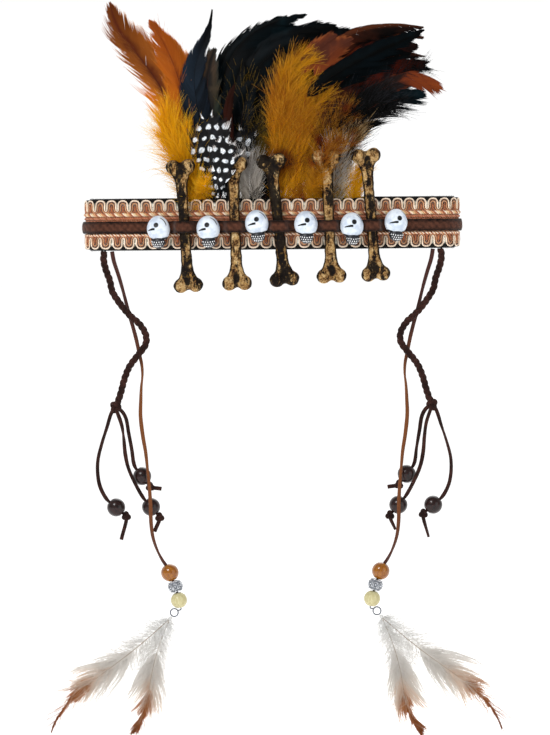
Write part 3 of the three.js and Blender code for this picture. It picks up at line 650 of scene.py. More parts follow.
def strands_of_fluff(roots, ways, lengths, width=0.07):
    """Short single fibres, each a thin bent blade of two quads."""
    ways = unit(ways)
    bend = chance.normal(0, 0.35, roots.shape)
    middle = roots + ways * lengths[:, None] / 2
    tip = middle + unit(ways + bend) * lengths[:, None] / 2
    beside = unit(np.cross(ways, chance.normal(0, 1, roots.shape))) * width / 2
    points = np.stack([roots - beside, roots + beside, middle + beside * .8, middle - beside * .8,
                       tip + beside * .3, tip - beside * .3], 1)
    base = np.arange(len(roots))[:, None] * 6
    faces = np.concatenate([base + [0, 1, 2, 3], base + [3, 2, 4, 5]]).tolist()
    return Part(points.reshape(-1, 3), faces)


at = chance.uniform(0, LOOP, FIBRES)
up = chance.choice([-1, 1], FIBRES)
start = wrap(at, chance.uniform(-1.5, -0.1, FIBRES), up * (FELT_HALF - 0.25))
ways = np.stack([chance.normal(0, .6, FIBRES), chance.normal(0, .6, FIBRES), up], 1)
hairs = strands_of_fluff(start, ways, chance.uniform(0.5, 1.1, FIBRES))
piece("felt_band_soft", [felt_part, hairs], [felt], "felt", ["felt_band"])
print("felt fibres:", FIBRES)

# %% [markdown]
# ## Gimp trim: the cloth and its scrolls
# Gimp is a woven trim. Its ground is a thin cloth, and on it one broad serpentine of parallel cords
# turns back and forth. Each row here has five cords: a pale outer one, then brown, orange, brown and
# rust. Each cord follows the same wave, set further inside it, so the arches nest.

# %% Yarn finishes
def yarn(name, deep, pale, ply=1.1, shine=0.25):
    """Twisted yarn: slanting plies along the cord, with fine fibres over them."""
    f = Finish(name)
    slant = f.axis("Z") * (1 / (1.3 * MM))
    ridge = (f.mark("along") / ply + slant).maths("FRACT", f.mark("along") / ply + slant)
    ridge = f.rise(ridge.maths("PINGPONG", ridge, 0.5), 0.0, 0.5)
    fibres = f.noise(3000, 3.0)
    hue = f.noise(220, 2.0)
    colour = f.mix(paint(deep), paint(pale), ridge * 0.45 + fibres * 0.3 + hue * 0.3)
    return f.surface(Base_Color=colour, Roughness=0.8 - ridge * 0.15, Normal=f.bump(ridge + fibres * 0.5, 0.2),
                     Sheen_Weight=shine, Specular_IOR_Level=0.3)


cream_yarn = yarn("cream_yarn", "dcb592", "fff2de")
brown_yarn = yarn("brown_yarn", "42200f", "7d4828")
orange_yarn = yarn("orange_yarn", "b06a3a", "e6ae7e")
rust_yarn = yarn("rust_yarn", "7c3d20", "b86e42")
gold_yarn = yarn("gold_yarn", "b08a50", "f3deb4", 1.6)
red_yarn = yarn("red_yarn", "8a4028", "d08a62", 1.6)

cloth = Finish("gimp_cloth")
weft = cloth.axis("Z") * (1 / (0.8 * MM))
warp = cloth.mark("along") / 0.8
weave = cloth.rise(weft.maths("PINGPONG", weft, 0.5) * warp.maths("PINGPONG", warp, 0.5), 0.02, 0.2)
blotch = cloth.rise(cloth.noise(330, 3.0), 0.42, 0.6)
up_down = cloth.axis("Z")
from_middle = up_down.maths("ABSOLUTE", up_down)
between_scrolls = cloth.mix(cloth.mix(paint("8d8a78"), paint("efece0"), blotch), paint("fdfbf2"), weave * 0.5)
between_scrolls = cloth.mix(between_scrolls, paint("12110f"), cloth.rise(from_middle, 12.6 * MM, 14.6 * MM))
under_ridges = cloth.mix(paint("8a4f2e"), paint("c08a5a"), blotch * 0.6 + weave * 0.4)
cloth_colour = cloth.mix(under_ridges, between_scrolls, cloth.rise(from_middle, 8.2 * MM, 9.2 * MM))
cloth = cloth.surface(Base_Color=cloth_colour, Roughness=0.9, Normal=cloth.bump(weave, 0.2),
                      Specular_IOR_Level=0.2)
print("yarns ready")

# %% [markdown]
# The wave is drawn once through a few points for a quarter of its length and mirrored. Its feet flare
# outwards like the letter omega, because the real cords lean on each other there.

# %% Scroll cords
SCROLLS = round(LOOP / 8.3)
SCROLL_PITCH = LOOP / SCROLLS
CORD_THICK = (1.05, 0.62, 0.8, 0.6, 1.1)
STEPS = 16
OUTWARD = np.array([0, -1.0, 0])


def scroll_wave(k):
    """Flat (x, z) points of one cord of the serpentine; k counts the cords inwards."""
    reach, top, foot = 3.15 - 0.72 * k, 15.75 - 0.86 * k, 8.7 - 0.42 * k
    knots = np.array([(0, top), (reach * 0.62, top - 0.35), (reach * 0.97, top - 1.7), (reach, top - 3.6),
                      (reach + 0.1 + 0.1 * k, foot + 1.4), (reach + 0.45 + 0.3 * k, foot + 0.35),
                      (SCROLL_PITCH / 2, foot)])
    knots[:, 0] = np.minimum(knots[:, 0], SCROLL_PITCH / 2)
    half = smooth_line(np.c_[knots[:, 0], 0 * knots[:, 0], knots[:, 1]], 0.1)[:, [0, 2]]
    half = half[np.linspace(0, len(half) - 1, STEPS // 2 + 1).round().astype(int)]
    return np.vstack([half[:-1], (half[1:] * [-1, 1] + [SCROLL_PITCH, 0])[::-1]])


def laid_on_trim(line, across, section, finish, run):
    """A cord along a closed line on the flat trim, put round the loop."""
    points = line[:, None] + section[None, :, :1] * across[:, None] + section[None, :, 1:] * OUTWARD
    faces = tube_faces(*points.shape[:2])
    return wrapped(Part(points.reshape(-1, 3), faces, finish, along=np.repeat(run, len(section))))


def scroll_row(up, phase):
    """One row, above the strip or below it, its cords leaning a little as the real ones do."""
    parts = []
    lean = np.repeat(chance.normal(0, 0.16, SCROLLS), STEPS)
    for k, thick in enumerate(CORD_THICK):
        wave = scroll_wave(k)
        x = np.concatenate([wave[:, 0] + i * SCROLL_PITCH for i in range(SCROLLS)])
        z = np.tile(wave[:, 1], SCROLLS)
        jitter = np.roll(lean, STEPS // 2) * (z - 8) / 4
        out = 2.5 + thick * 0.35 + 0.25 * np.sin((z - 7.5) / 9 * np.pi)
        line = np.stack([x + phase * SCROLL_PITCH + jitter, -out, up * z], 1)
        before, after = line[-1] - [LOOP, 0, 0], line[0] + [LOOP, 0, 0]
        way = unit(np.vstack([line[1:], after]) - np.vstack([before, line[:-1]]))
        section = oval(thick, thick * 0.95, 4)
        parts.append(laid_on_trim(line, np.cross(OUTWARD, way), section, k, run_along(line)))
    return parts


cord_finishes = [cream_yarn, brown_yarn, orange_yarn, brown_yarn, rust_yarn]
upper = piece("gimp_scrolls_upper", scroll_row(1, 0.0), cord_finishes, "gimp", ["gimp_trim"])
piece("gimp_scrolls_lower", scroll_row(-1, 0.5), cord_finishes, "gimp", ["gimp_trim"])
print("scrolls in a row:", SCROLLS, "faces:", len(upper.data.polygons))

# %% [markdown]
# The cloth under the cords is one thin closed wall. Where the crest stands between it and the felt,
# its back gives way to the quills.

# %% Cloth
CLOTH_STEPS, CLOTH_ROWS, CLOTH_HALF, CLOTH_FRONT, CLOTH_BACK = 300, 12, 16.4, 2.55, 0.35
CREST_HALF, CREST_GAP = 66, 1.05
along = round_the_loop(CLOTH_STEPS)
rows = np.linspace(-CLOTH_HALF, CLOTH_HALF, CLOTH_ROWS)
over_quills = np.clip((CREST_HALF - abs((along + LOOP / 2) % LOOP - LOOP / 2)) / 6, 0, 1)
front = np.stack([np.full(CLOTH_STEPS, CLOTH_FRONT - 0.25 * (abs(z) > 16)) for z in rows], 1)
back = np.stack([CLOTH_BACK + CREST_GAP * over_quills * np.clip((z - 7) / 2, 0, 1) for z in rows[::-1]], 1)
out = np.concatenate([front, back], 1)
high = np.broadcast_to(np.concatenate([rows, rows[::-1]]), out.shape)
grid = wrap(along[:, None] + 0 * out, out, high)
cloth_faces = tube_faces(*out.shape, inward=True)
cloth_part = Part(grid.reshape(-1, 3), cloth_faces, along=np.repeat(along, out.shape[1]))
piece("gimp_cloth_band", [cloth_part], [cloth], "gimp", ["gimp_trim"])
print("cloth faces:", len(cloth_part.faces))

# %% [markdown]
# Between the rows run twisted ridges: a broad gold one, a red one and a thin red one above the strip,
# and a pale one below it. Each is a few plies of different colours wound round one another, so it
# looks mottled. A smooth cord with a striped colour would do from afar, but not at the outline.

# %% Twisted ridges
RIDGE_STEP = 1.0


def twisted(z, out, radius, ply, pitch, finishes):
    """Plies, one for each finish, wound round a line that goes once round the band."""
    count, turns, plies = round(LOOP / RIDGE_STEP), round(LOOP / pitch), len(finishes)
    run = round_the_loop(count)
    parts = []
    for k, finish in enumerate(finishes):
        a = 2 * np.pi * (turns * run / LOOP + k / plies)
        line = np.stack([run, -(out + radius * np.sin(a)), z + radius * np.cos(a)], 1)
        way = np.stack([np.ones(count), -radius * np.cos(a) * 2 * np.pi / pitch,
                        -radius * np.sin(a) * 2 * np.pi / pitch], 1)
        parts.append(laid_on_trim(line, unit(np.cross(OUTWARD, way)), oval(ply, ply, 4), finish, run))
    return parts


ridges = twisted(6.5, 2.75, 0.85, 1.2, 6.2, (0, 2, 4, 3)) + twisted(3.9, 2.6, 0.6, 1.1, 5.0, (1, 1, 4))
ridges += twisted(2.3, 2.3, 0.35, 0.9, 3.4, (1, 4)) + twisted(-7.0, 2.7, 0.6, 1.0, 5.0, (2, 3, 2, 4))
piece("gimp_ridges", ridges, [gold_yarn, red_yarn, cream_yarn, orange_yarn, rust_yarn], "gimp", ["gimp_trim"])
print("ridges:", len(ridges), "plies")

# %% [markdown]
# ## Where the ornaments sit
# The bones stand upright in front of the trim, and the skull beads sit between them. The dark strip
# rises over each bone and drops back under each skull, so all three need the same places.

# %% Places of the bones and the skulls
PITCH, SHIFT = 30.6, 3.3
SKULLS = [(0, -.16, 0), (.06, -.17, -2), (.07, .03, -4), (.09, -.02, 1), (.05, -.1, 2), (0, .03, 5)]
BONES = [(.04, -.014, -3.4), (.11, 0, -1.6), (.01, .024, -6), (.08, .048, -2.2), (-.02, .058, -4.4)]
STRIP_BACK, STRIP_THICK, STRIP_MIDDLE = 2.9, 2.2, -1.9
OVER_BONE, PLATEAU, SKULL_SEAT, WIDEST_RAMP = 7.872, 3.198, 5.929, 6.0
BONE_OUT, SKULL_OUT = 7.372, 9.77


def in_row(row, i):
    """How far along the band the ornament stands; each row says pitch, height and lean of its own."""
    return SHIFT + (i - (len(row) - 1) / 2 + row[i][0]) * PITCH


def stood(row, number, out, high):
    """The turn and the centre of an ornament: it faces away from the band and leans in its plane."""
    along, (_, share, lean) = in_row(row, number), row[number]
    turn = Matrix.Rotation(along / LONG_ARC, 4, "Z") @ Matrix.Rotation(math.radians(lean), 4, "Y")
    return np.array(turn.to_3x3()), wrap(np.array([along]), out, np.array([share * high]))[0]


def strip_lift(along):
    """How far the strip is lifted off the trim: over each bone, and down again under each skull."""
    lift = np.zeros_like(along)
    for i in range(len(BONES)):
        bone = in_row(BONES, i)
        away = along - bone
        seats = [abs(in_row(SKULLS, i + k) - bone) - SKULL_SEAT for k in (0, 1)]
        before, after = np.minimum(seats, PLATEAU + WIDEST_RAMP)
        end = np.where(away < 0, before, after)
        down = np.clip((abs(away) - PLATEAU) / (end - PLATEAU), 0, 1)
        lift = np.maximum(lift, OVER_BONE * (0.5 + 0.5 * np.cos(np.pi * down)))
    return lift


print("bones at", [round(in_row(BONES, i), 1) for i in range(5)])

# %% [markdown]
# ## The dark strip
# A strip of dark suede runs along the middle of the trim and over every bone. Its face rises and
# falls in slanting pads, as if three soft strands were pressed flat under it, its edges wander, and
# it is squeezed where a skull bead is tied over it. It is one ring of points carried round the loop,
# because waves in the ring's height and thickness give the pads their soft valleys.

# %% Strip
STRIP_STEPS, STRIP_SIDES, STRIP_HIGH, PAD_LENGTH, PAD_SWING, JOIN = 680, 18, 7.9, 15, 2.1, 40
run = round_the_loop(STRIP_STEPS)
signed = (run + LOOP / 2) % LOOP - LOOP / 2
under_skull = sum(np.exp(-((signed - in_row(SKULLS, i)) / 5.0) ** 2) for i in range(6))
wave = 2 * np.pi * round(LOOP / PAD_LENGTH) * run / LOOP
high = STRIP_HIGH + wander(STRIP_STEPS, 9, 0.16) + 0.25 * np.sin(wave * 2) - under_skull * 0.5
middle = STRIP_MIDDLE + wander(STRIP_STEPS, 22, 0.12)
for values in (middle, high):
    values[-JOIN:] += (values[0] - values[-1]) * np.linspace(0, 1, JOIN)
ring = oval(1, 1, STRIP_SIDES, 0.62)
z = middle[:, None] + ring[None, :, 0] * high[:, None]
swings = [STRIP_MIDDLE + PAD_SWING * np.sin(wave + 2 * np.pi * k / 3)[:, None] for k in range(3)]
pads = sum(np.cos((z - swing) / 1.5).clip(0) ** 2 for swing in swings)
thick = STRIP_THICK * (0.86 + 0.16 * pads) * (1 - 0.12 * under_skull[:, None])
out = STRIP_BACK + STRIP_THICK / 2 + strip_lift(signed)[:, None] + ring[None, :, 1] * thick
out = out + wander(STRIP_STEPS, 4, 0.03)[:, None]
# How far each point of the strip's face stands up on a pad, less towards the top and bottom edges. The bump
# reads it, and the strip's finish also paints shade with it: lighter on the pads, darker in the valleys and at
# the edges.
pad_rise_and_shade = np.clip((pads - 0.28) / 1.20, 0, 1) * (1 - 0.8 * abs(2 * ring[None, :, 0]) ** 3)
grid = np.stack([run[:, None] + 0 * z, -out, z], -1)
strip = wrapped(Part(grid.reshape(-1, 3), tube_faces(STRIP_STEPS, STRIP_SIDES), pad=pad_rise_and_shade.reshape(-1)))
piece("dark_strip_suede", [strip], [strip_suede], "suede", ["dark_strip"])
print("strip faces:", len(strip.faces))

# %% [markdown]
# ## Bones
# Each bone is cast resin: a round shaft that swells into two knobs at each end. The shaft and the
# knobs are made as separate closed shapes, melted into one by a voxel remesh, and smoothed, which
# gives the soft valley between the knobs. Then small dents and knocks are pushed into the surface.

# %% Bone finish
def bone_finish():
    f = Finish("painted_bone")
    dark = f.mark("dark")
    big, fine = f.noise(210, 3.0, roughness=0.65), f.noise(900, 3.0, roughness=0.7)
    speck = f.cells(700)
    mottle = big * 0.55 + fine * 0.45
    body = f.ramp(mottle, [(.34, "0c0705"), (.43, "4f3319"), (.5, "8f6d41"), (.59, "b89b6d"), (.71, "e2d6b6")])
    streaks = f.noise(190, 5.0, f.stretched(1, 1, 0.45), 0.75)
    black = f.rise(streaks + dark * 0.3 + f.mark("groove") * 0.16, 0.53, 0.6)
    # Painted shade: the faces that turn to the left and to the right are painted black, which draws a dark
    # outline down both sides of each bone.
    turned = f.node("SeparateXYZ", {}, {0: f.node("TexCoord", {}, {}, "Normal")}, "X")
    edge = f.rise(turned.maths("ABSOLUTE", turned) + fine * 0.35, 0.72, 0.96)
    hollow = f.rise(f.mark("hollow") + (fine - 0.5) * 0.9, 0.4, 0.6)
    # So ink holds the black paint of the streaks, the groove and the hollow, and also the painted shade down
    # the sides.
    ink = black.maths("MAXIMUM", black, edge)
    ink = ink.maths("MAXIMUM", ink, hollow)
    colour = f.mix(body, paint("050405"), ink * 0.97)
    colour = f.mix(colour, paint("a9803a"), f.rise(f.noise(420, 2.0), 0.6, 0.68) * 0.5 * (1 - ink * 0.7))
    return f.surface(Base_Color=colour, Roughness=0.45 + fine * 0.3, Normal=f.bump(mottle + speck * 0.3, 0.5),
                     Specular_IOR_Level=0.08)


bone_paint = bone_finish()
print("finish:", bone_paint.name)

# %% [markdown]
# The sections of the shaft are shares of its length, width and depth. The hollow between the knobs is
# pushed in afterwards, and it and a groove down the front are kept as marks, so the dark paint can
# gather in them.

# %% Bone shape
HALF, SHAFT_WIDE, SHAFT_THICK, LOBE, LOBE_SPREAD, LOBE_THICK = 44.0, 7.8, 6.2, 4.9, 9.8, 8.8
BONE_DARK, BONE_GROOVE = (0.2, 0.02, 0.42, 0.05, 0.16), (1, 0.2, 0.8, 0.2, 0.7)
SECTIONS = [  # share of the half length, of the width and of the depth
    (0, .92, .96), (.4, .94, .98), (.6, 1.02, 1.02), (.68, 1.16, 1.06), (.75, 1.45, 1.1), (.82, 1.9, 1.16),
            (.88, 2.25, 1.14), (.93, 2.2, .95)]


def melted(parts, voxel, rounds):
    """Closed parts in millimetres joined into one skin."""
    mesh = bpy.data.meshes.new("melt")
    points, faces = joined(parts)
    mesh.from_pydata(points.tolist(), [], faces)
    holder = bpy.data.objects.new("melt", mesh)
    bpy.context.scene.collection.objects.link(holder)
    remesh = holder.modifiers.new("remesh", "REMESH")
    remesh.mode, remesh.voxel_size = "VOXEL", voxel
    smooth = holder.modifiers.new("smooth", "SMOOTH")
    smooth.factor, smooth.iterations = 0.5, rounds
    graph = bpy.context.evaluated_depsgraph_get()
    done = bpy.data.meshes.new_from_object(holder.evaluated_get(graph))
    points = np.empty(len(done.vertices) * 3)
    done.vertices.foreach_get("co", points)
    faces = [list(p.vertices) for p in done.polygons]
    bpy.data.objects.remove(holder)
    return Part(points.reshape(-1, 3), faces)


def lumps(points, scale, size, shift):
    """A smooth bumpy number for every point, from a few crossing waves."""
    total = np.zeros(len(points))
    for i in range(6):
        way = np.random.default_rng(i + 3).normal(0, 1, 3)
        total += np.sin(points @ way / scale + i * 1.7 + shift * (i + 1))
    return total / 6 * size


def bone_part(number):
    """Shaft and knobs melted into one skin, dented, and stood in its place on the band."""
    stations_z = np.concatenate([np.linspace(0, .6, 7), np.linspace(.66, .93, 8)])
    z = np.concatenate([-stations_z[::-1][:-1], stations_z])
    shares = np.array(SECTIONS)
    wide = np.interp(abs(z), shares[:, 0], shares[:, 1]) * SHAFT_WIDE
    thick = np.interp(abs(z), shares[:, 0], shares[:, 2]) * SHAFT_THICK
    section = oval(1, 1, 20)[None] * np.stack([wide, thick], 1)[:, None]
    parts = [sweep(np.stack([0 * z, 0 * z, z * HALF], 1), section)]
    for end in (-1, 1):
        for knob in (-1, 1):
            centre = (knob * (LOBE_SPREAD / 2 + 0.15), 0, end * (HALF - LOBE))
            parts.append(ball(centre, (LOBE, LOBE_THICK / 2, LOBE), 16, 24))
        parts.append(ball((0, 0, end * (HALF - 5.6)), (4.6, 3.5, 3.7), 12, 18))
    skin = melted(parts, 0.75, 4)
    p = skin.points
    normal = unit(p * [1, 1, 0.05])
    p = p + normal * (lumps(p, 1.9, 0.32, number) + lumps(p, 0.8, 0.14, number * 2))[:, None]
    hollow = np.exp(-((p[:, 0] / 2.7) ** 2 + ((abs(p[:, 2]) - (HALF - 8.6)) / 4.6) ** 2)) * (p[:, 1] < 0)
    p[:, 1] += hollow * 1.7
    groove = np.exp(-((p[:, 0] + 0.6) / 1.3) ** 2) * (p[:, 1] < 0)
    turn, centre = stood(BONES, number, BONE_OUT, 2 * HALF)
    return Part(p @ turn.T + centre, skin.faces, dark=BONE_DARK[number], groove=groove * BONE_GROOVE[number],
                hollow=hollow)


for number in range(5):
    made = piece(f"bone_{number + 1}_cast", [bone_part(number)], [bone_paint], "bone", [f"bone_{number + 1}"])
print("faces of a bone:", len(made.data.polygons))

# %% [markdown]
# ## Skull beads
# The beads are small white resin skulls. The eye, the curved line and the rim of the cranium are
# black paint, drawn here by masks on two marks: how far each point lies across the face and up it.
# A picture would do it as well, but marks need no file and stay sharp at any distance.

# %% Skull finishes
def grained(name, deep, pale, scale, detail, depth, **sockets):
    """A finish of two colours mixed by one noise, which also gives its bump."""
    f = Finish(name)
    grain = f.noise(scale, detail)
    return f.surface(Base_Color=f.mix(paint(deep), paint(pale), grain), Normal=f.bump(grain, depth), **sockets)


def skull_finish():
    """White resin with its face painted on; z runs up the face and x across it."""
    f = Finish("white_resin")
    x, z = f.mark("face_x"), f.mark("face_z")

    dx, dz = x - 0.3, z - 2.3
    eye = f.rise((dx * dx + dz * dz) ** 0.5, 1.9, 1.4)
    line_height = -0.35 - ((x + 0.2) ** 2.0) * 0.035
    half = f.node("MapRange", {}, {"Value": x, "From Min": -5.8, "From Max": -2.4, "To Min": .2, "To Max": .55})
    off = z - line_height
    stroke = f.rise(off.maths("ABSOLUTE", off) - half * 1.3, 0.12, -0.05)
    stroke = stroke * f.rise(x, -6.0, -5.4) * f.rise(x, -0.2, -0.7)
    round_the_edge = ((x / 7.7) ** 2.0 + (z / 8.5) ** 2.0) ** 0.5
    rim = f.rise((round_the_edge - 0.86).maths("ABSOLUTE", round_the_edge - 0.86), 0.035, 0.015)
    rim = rim * f.rise(x, 1.6, 3.0) * f.rise(z, 1.2, 3.0)
    cheek_height = (x.maths("ABSOLUTE", x) * 0.32) - 8.0
    cheek = z - cheek_height
    bow = f.rise(cheek.maths("ABSOLUTE", cheek), 0.75, 0.35) * f.rise(x.maths("ABSOLUTE", x), 0.9, 1.5)
    ink = eye
    for other in (stroke, rim, bow):
        ink = ink.maths("MAXIMUM", ink, other)
    haze = f.noise(240, 3.0)
    body = f.mix(paint("bac6d6"), paint("dbe3ec"), f.rise(haze, 0.3, 0.6))
    grime = f.rise(f.noise(600, 4.0), 0.66, 0.75) * 0.25
    colour = f.mix(f.mix(body, paint("8d9096"), grime), paint("040508"), ink)
    return f.surface(Base_Color=colour, Roughness=0.42, Normal=f.bump(haze - ink * 0.6, 0.25),
                     Specular_IOR_Level=0.3)


skull_white = skull_finish()
jaw_dark = grained("jaw_dark", "07080c", "191c26", 900, 3.0, 0.2, Roughness=0.4)
tooth = grained("tooth", "d9dce0", "ffffff", 1200, 2.0, 0.1, Roughness=0.35)
print("finishes:", skull_white.name, jaw_dark.name, tooth.name)

# %% [markdown]
# The cranium is a ball that narrows to the crown, deeper in front than behind, with a dent at the eye
# and one at the temple. The jaw is a smaller dark ball under it, and three short arcs of white balls
# stand in it as teeth.

# %% Skull shape
SKULL_WIDE, SKULL_HIGH, SKULL_DEEP = 15.4, 17.0, 11.5
TEETH_ROWS = ((-9.2, 7, 4.5), (-10.6, 6, 4.2), (-11.9, 5, 3.5))  # height, teeth, reach from the middle
TOOTH_RADII, TOOTH_TURN = (0.4, 0.38, 0.48), 0.36
NO_PAINT = {"face_x": 9, "face_z": 9}


def skull_parts(number):
    egg = ball((0, 0, 0), (SKULL_WIDE / 2, 1, SKULL_HIGH / 2), 34, 44)
    p = egg.points
    p[:, 1] *= np.where(p[:, 1] < 0, SKULL_DEEP * 0.62, SKULL_DEEP * 0.38)
    p[:, 0] *= 1 - 0.09 * np.clip(p[:, 2] / 8.5, -1, 1)
    p[:, 0] += 0.25 * np.clip(-p[:, 0] / 7, 0, 1) * np.clip(-p[:, 2] / 5, -1, 1)
    eye = np.exp(-((p[:, 0] - 0.3) ** 2 + (p[:, 2] - 2.3) ** 2) / 1.7) * (p[:, 1] < 0)
    temple = np.exp(-(((p[:, 0] + 5.2) / 2.2) ** 2 + ((p[:, 2] + 3.2) / 2.6) ** 2)) * (p[:, 1] < 0)
    p[:, 1] += eye * 0.8 + temple * 0.5
    p += unit(p) * lumps(p, 2.6, 0.1, number)[:, None]
    egg.marks = {"face_x": p[:, 0].copy(), "face_z": p[:, 2].copy()}
    parts = [egg]
    parts.append(ball((0.3, -1.7, -9.0), (4.7, 4.0, 4.1), 14, 20, 1, **NO_PAINT))
    for high, teeth, reach in TEETH_ROWS:
        for i in range(teeth):
            angle = (i - (teeth - 1) / 2) * TOOTH_TURN
            x, y = 0.3 + reach * math.sin(angle), -1.7 - reach * 0.86 * math.cos(angle)
            parts.append(ball((x, y, high + 0.5 * abs(angle)), TOOTH_RADII, 6, 8, 2, **NO_PAINT))
    turn, centre = stood(SKULLS, number, SKULL_OUT, SKULL_HIGH)
    for part in parts:
        part.points = part.points @ turn.T + centre
    return parts


for number in range(6):
    made = piece(f"skull_{number + 1}_resin", skull_parts(number), [skull_white, jaw_dark, tooth], "skull",
                 [f"skull_bead_{number + 1}"])
print("faces of a skull:", len(made.data.polygons))

# %% [markdown]
# ## Wooden and silver beads
# The dark and amber beads are turned wood under a clear gloss, and the cream one is bare, sealed wood.
# The grain runs along the hole, because beads are cut from a rod. The silver bead is a cast barrel
# with a ring of small loops and dots over a darkened ground.

# %% Bead finishes
def wood(name, deep, pale, gloss, pores=0.5):
    f = Finish(name)
    grain = f.noise(120, 4.0, f.stretched(9, 9, 1.2), 0.6)
    fine = f.noise(300, 3.0, f.stretched(12, 12, 1.0))
    colour = f.mix(paint(deep), paint(pale), f.rise(grain * 0.65 + fine * 0.35, 0.38, 0.64))
    return f.surface(Base_Color=colour, Roughness=0.38 - fine * 0.1, Normal=f.bump(fine, 0.06, pores),
                     Coat_Weight=gloss, Coat_Roughness=0.06, Specular_IOR_Level=0.2)


dark_wood = wood("dark_wood", "0a0303", "2c0f0b", 0.3)
amber_wood = wood("amber_wood", "7a4000", "a06400", 0.8)
cream_wood = wood("cream_wood", "b5ab7c", "cdc69c", 0.25)

silver = Finish("silver")
tarnish = silver.noise(700, 3.0)
bright = silver.mix(paint("8d9096"), paint("e4e6ea"), silver.rise(tarnish, 0.35, 0.6))
silver = silver.surface(Base_Color=bright, Metallic=0.95, Roughness=0.22 + tarnish * 0.25,
                        Normal=silver.bump(tarnish, 0.08))
tarnished = grained("tarnished_silver", "3c4046", "a6abb4", 500, 3.0, 0.1, Metallic=0.7, Roughness=0.55)
steel = grained("steel_wire", "54575d", "8b8f97", 900, 2.0, 0.05, Metallic=0.9, Roughness=0.3)
print("finishes:", dark_wood.name, amber_wood.name, cream_wood.name, silver.name, tarnished.name, steel.name)

# %% [markdown]
# A wooden bead is turned from one profile: a round outside, a small lip and a straight hole. Its own
# hole lies along its Z, so the object is turned until Z follows the lace, and the wood's grain, which
# reads the object's own coordinates, turns with it.

# %% Bead shapes
BEAD_HOLE, LIP = 1.8, 0.12


def drilled_ball(diameter):
    radius, hole = diameter / 2, BEAD_HOLE
    reach = math.acos(hole / radius)
    arc = np.linspace(-reach + 0.06, reach - 0.06, 22)
    end = radius * math.sin(reach)
    profile = [(radius * math.cos(a), radius * math.sin(a)) for a in arc]
    profile += [(hole + LIP, end - LIP), (hole, end - 0.5), (hole, 0)]
    profile += [(hole, -end + 0.5), (hole + LIP, -end + LIP)]
    return lathe(profile, 36)


def silver_barrel():
    """A tarnished barrel with two bright rims at each end and a ring of loops and dots round it."""
    half, loops = 3.6, 8
    profile = [(4.5 * math.cos(a) + 0.25, 4.6 * math.sin(a)) for a in np.linspace(-0.74, 0.74, 12)]
    profile = [(r, z) for r, z in profile if abs(z) < half - 0.3]
    profile += [(BEAD_HOLE + .1, half - 0.5), (BEAD_HOLE, 0), (BEAD_HOLE + .1, -half + 0.5)]
    parts = [lathe(profile, 32, 1)]
    a = round_turn(40)
    for end in (-1, 1):
        for reach, high, thick in ((3.75, half - 0.45, 0.8), (2.5, half - 0.15, 0.7)):
            rim = np.stack([reach * np.cos(a), reach * np.sin(a), np.full(40, end * high)], 1)
            parts.append(sweep(rim, oval(thick, thick, 6), (0, 0, 1), closed=True))
    a = round_turn(18)
    up, beside = 1.9 * np.sin(a), 1.5 * np.cos(a) / 4.8
    reach = 4.85 * np.sqrt(np.clip(1 - (up / 6.2) ** 2, 0, 1))
    for k in range(loops):
        about, between = 2 * np.pi * k / loops, 2 * np.pi * k / loops + np.pi / loops
        loop = np.stack([reach * np.cos(about + beside), reach * np.sin(about + beside), up], 1)
        parts.append(sweep(loop, oval(0.5, 0.5, 6), unit(loop * [1, 1, 0.001]), closed=True))
        parts.append(ball((4.7 * math.cos(about), 4.7 * math.sin(about), 0), 0.55, 6, 8))
        for high in (-1.7, 1.7):
            parts.append(ball((4.5 * math.cos(between), 4.5 * math.sin(between), high), 0.5, 6, 8))
    return parts


# %% [markdown]
# Three dark beads hang on the strands of each tie, and an amber one, the silver one and a cream one on
# each pendant lace. Each row of the table says a bead's look, where it sits and which way its hole
# runs.

# %% Beads on the laces
BEADS = (("amber_bead", "amber_wood", [amber_wood], (-70, -231.2, 0), (3.9, -8.8), [drilled_ball(11.8)]),
         ("silver_bead", "silver", [silver, tarnished], (-66.4, -240.3, 0), (2.9, -9.2), silver_barrel()),
         ("cream_bead", "cream_wood", [cream_wood], (-64.1, -249.5, 0), (1.8, -9.4), [drilled_ball(10.9)]))
DARK_BEADS = tuple((f"dark_bead_{strand}", "dark_wood", [dark_wood], bead, way, [drilled_ball(12.1)])
                   for strand, (_, bead, way, _) in STRANDS.items())
for name, side in SIDES.items():
    for bead, slot_name, looks, at, way, parts in DARK_BEADS + BEADS:
        label = f"{bead}_{name}"
        made = piece(label + "_turned", parts, looks, slot_name, [label])
        made.location = on_side(at, side)[0] * MM
        made.rotation_euler = (0, math.atan2(-side * way[0], way[1]) + math.pi, 0)

# %% [markdown]
# Below the cream bead an eye pin is bent into a loop. The two white feathers are bound to it with a
# few turns of thread.

# %% Eye pins
CREAM_AT, CREAM_WAY, PIN_LOOP = BEADS[2][3], BEADS[2][4], 2.6
LOOP_AT = through_bead(CREAM_AT, (-3.2, -8.2), [8.8])[0]
BIND_AT = through_bead(LOOP_AT, (-.65, -.9), [4.75])[0]
a = round_turn(40)
for name, side in SIDES.items():
    ring_line = on_side(LOOP_AT, side)[0] + np.stack([PIN_LOOP * np.cos(a), 0 * a, PIN_LOOP * np.sin(a)], 1)
    post = through_bead(CREAM_AT, CREAM_WAY, (1.5, 6.35)) + through_bead(LOOP_AT, (.85, .55), [PIN_LOOP])
    pin = sweep(smooth_line(on_side(post, side), 0.4), oval(0.9, 0.9))
    eye = sweep(ring_line, oval(0.95, 0.95), closed=True)
    piece(f"eye_pin_{name}_wire", [pin, eye], [steel], "silver", ["eye_pin_" + name])
print("loop centre:", [round(c, 1) for c in LOOP_AT])

# %% [markdown]
# ## How a feather is built
# A feather is a tapered quill with barbs on both sides. Where the barbs hold together they make a
# vane, and where they are loose they make down. A strip of mesh with a painted edge would look like
# card, so every barb is its own blade. A vane barb leaves the quill at an angle and bends towards the
# tip. A down barb is a curling spine with a fringe of fine barbules, here small triangles that share
# the spine's own points.

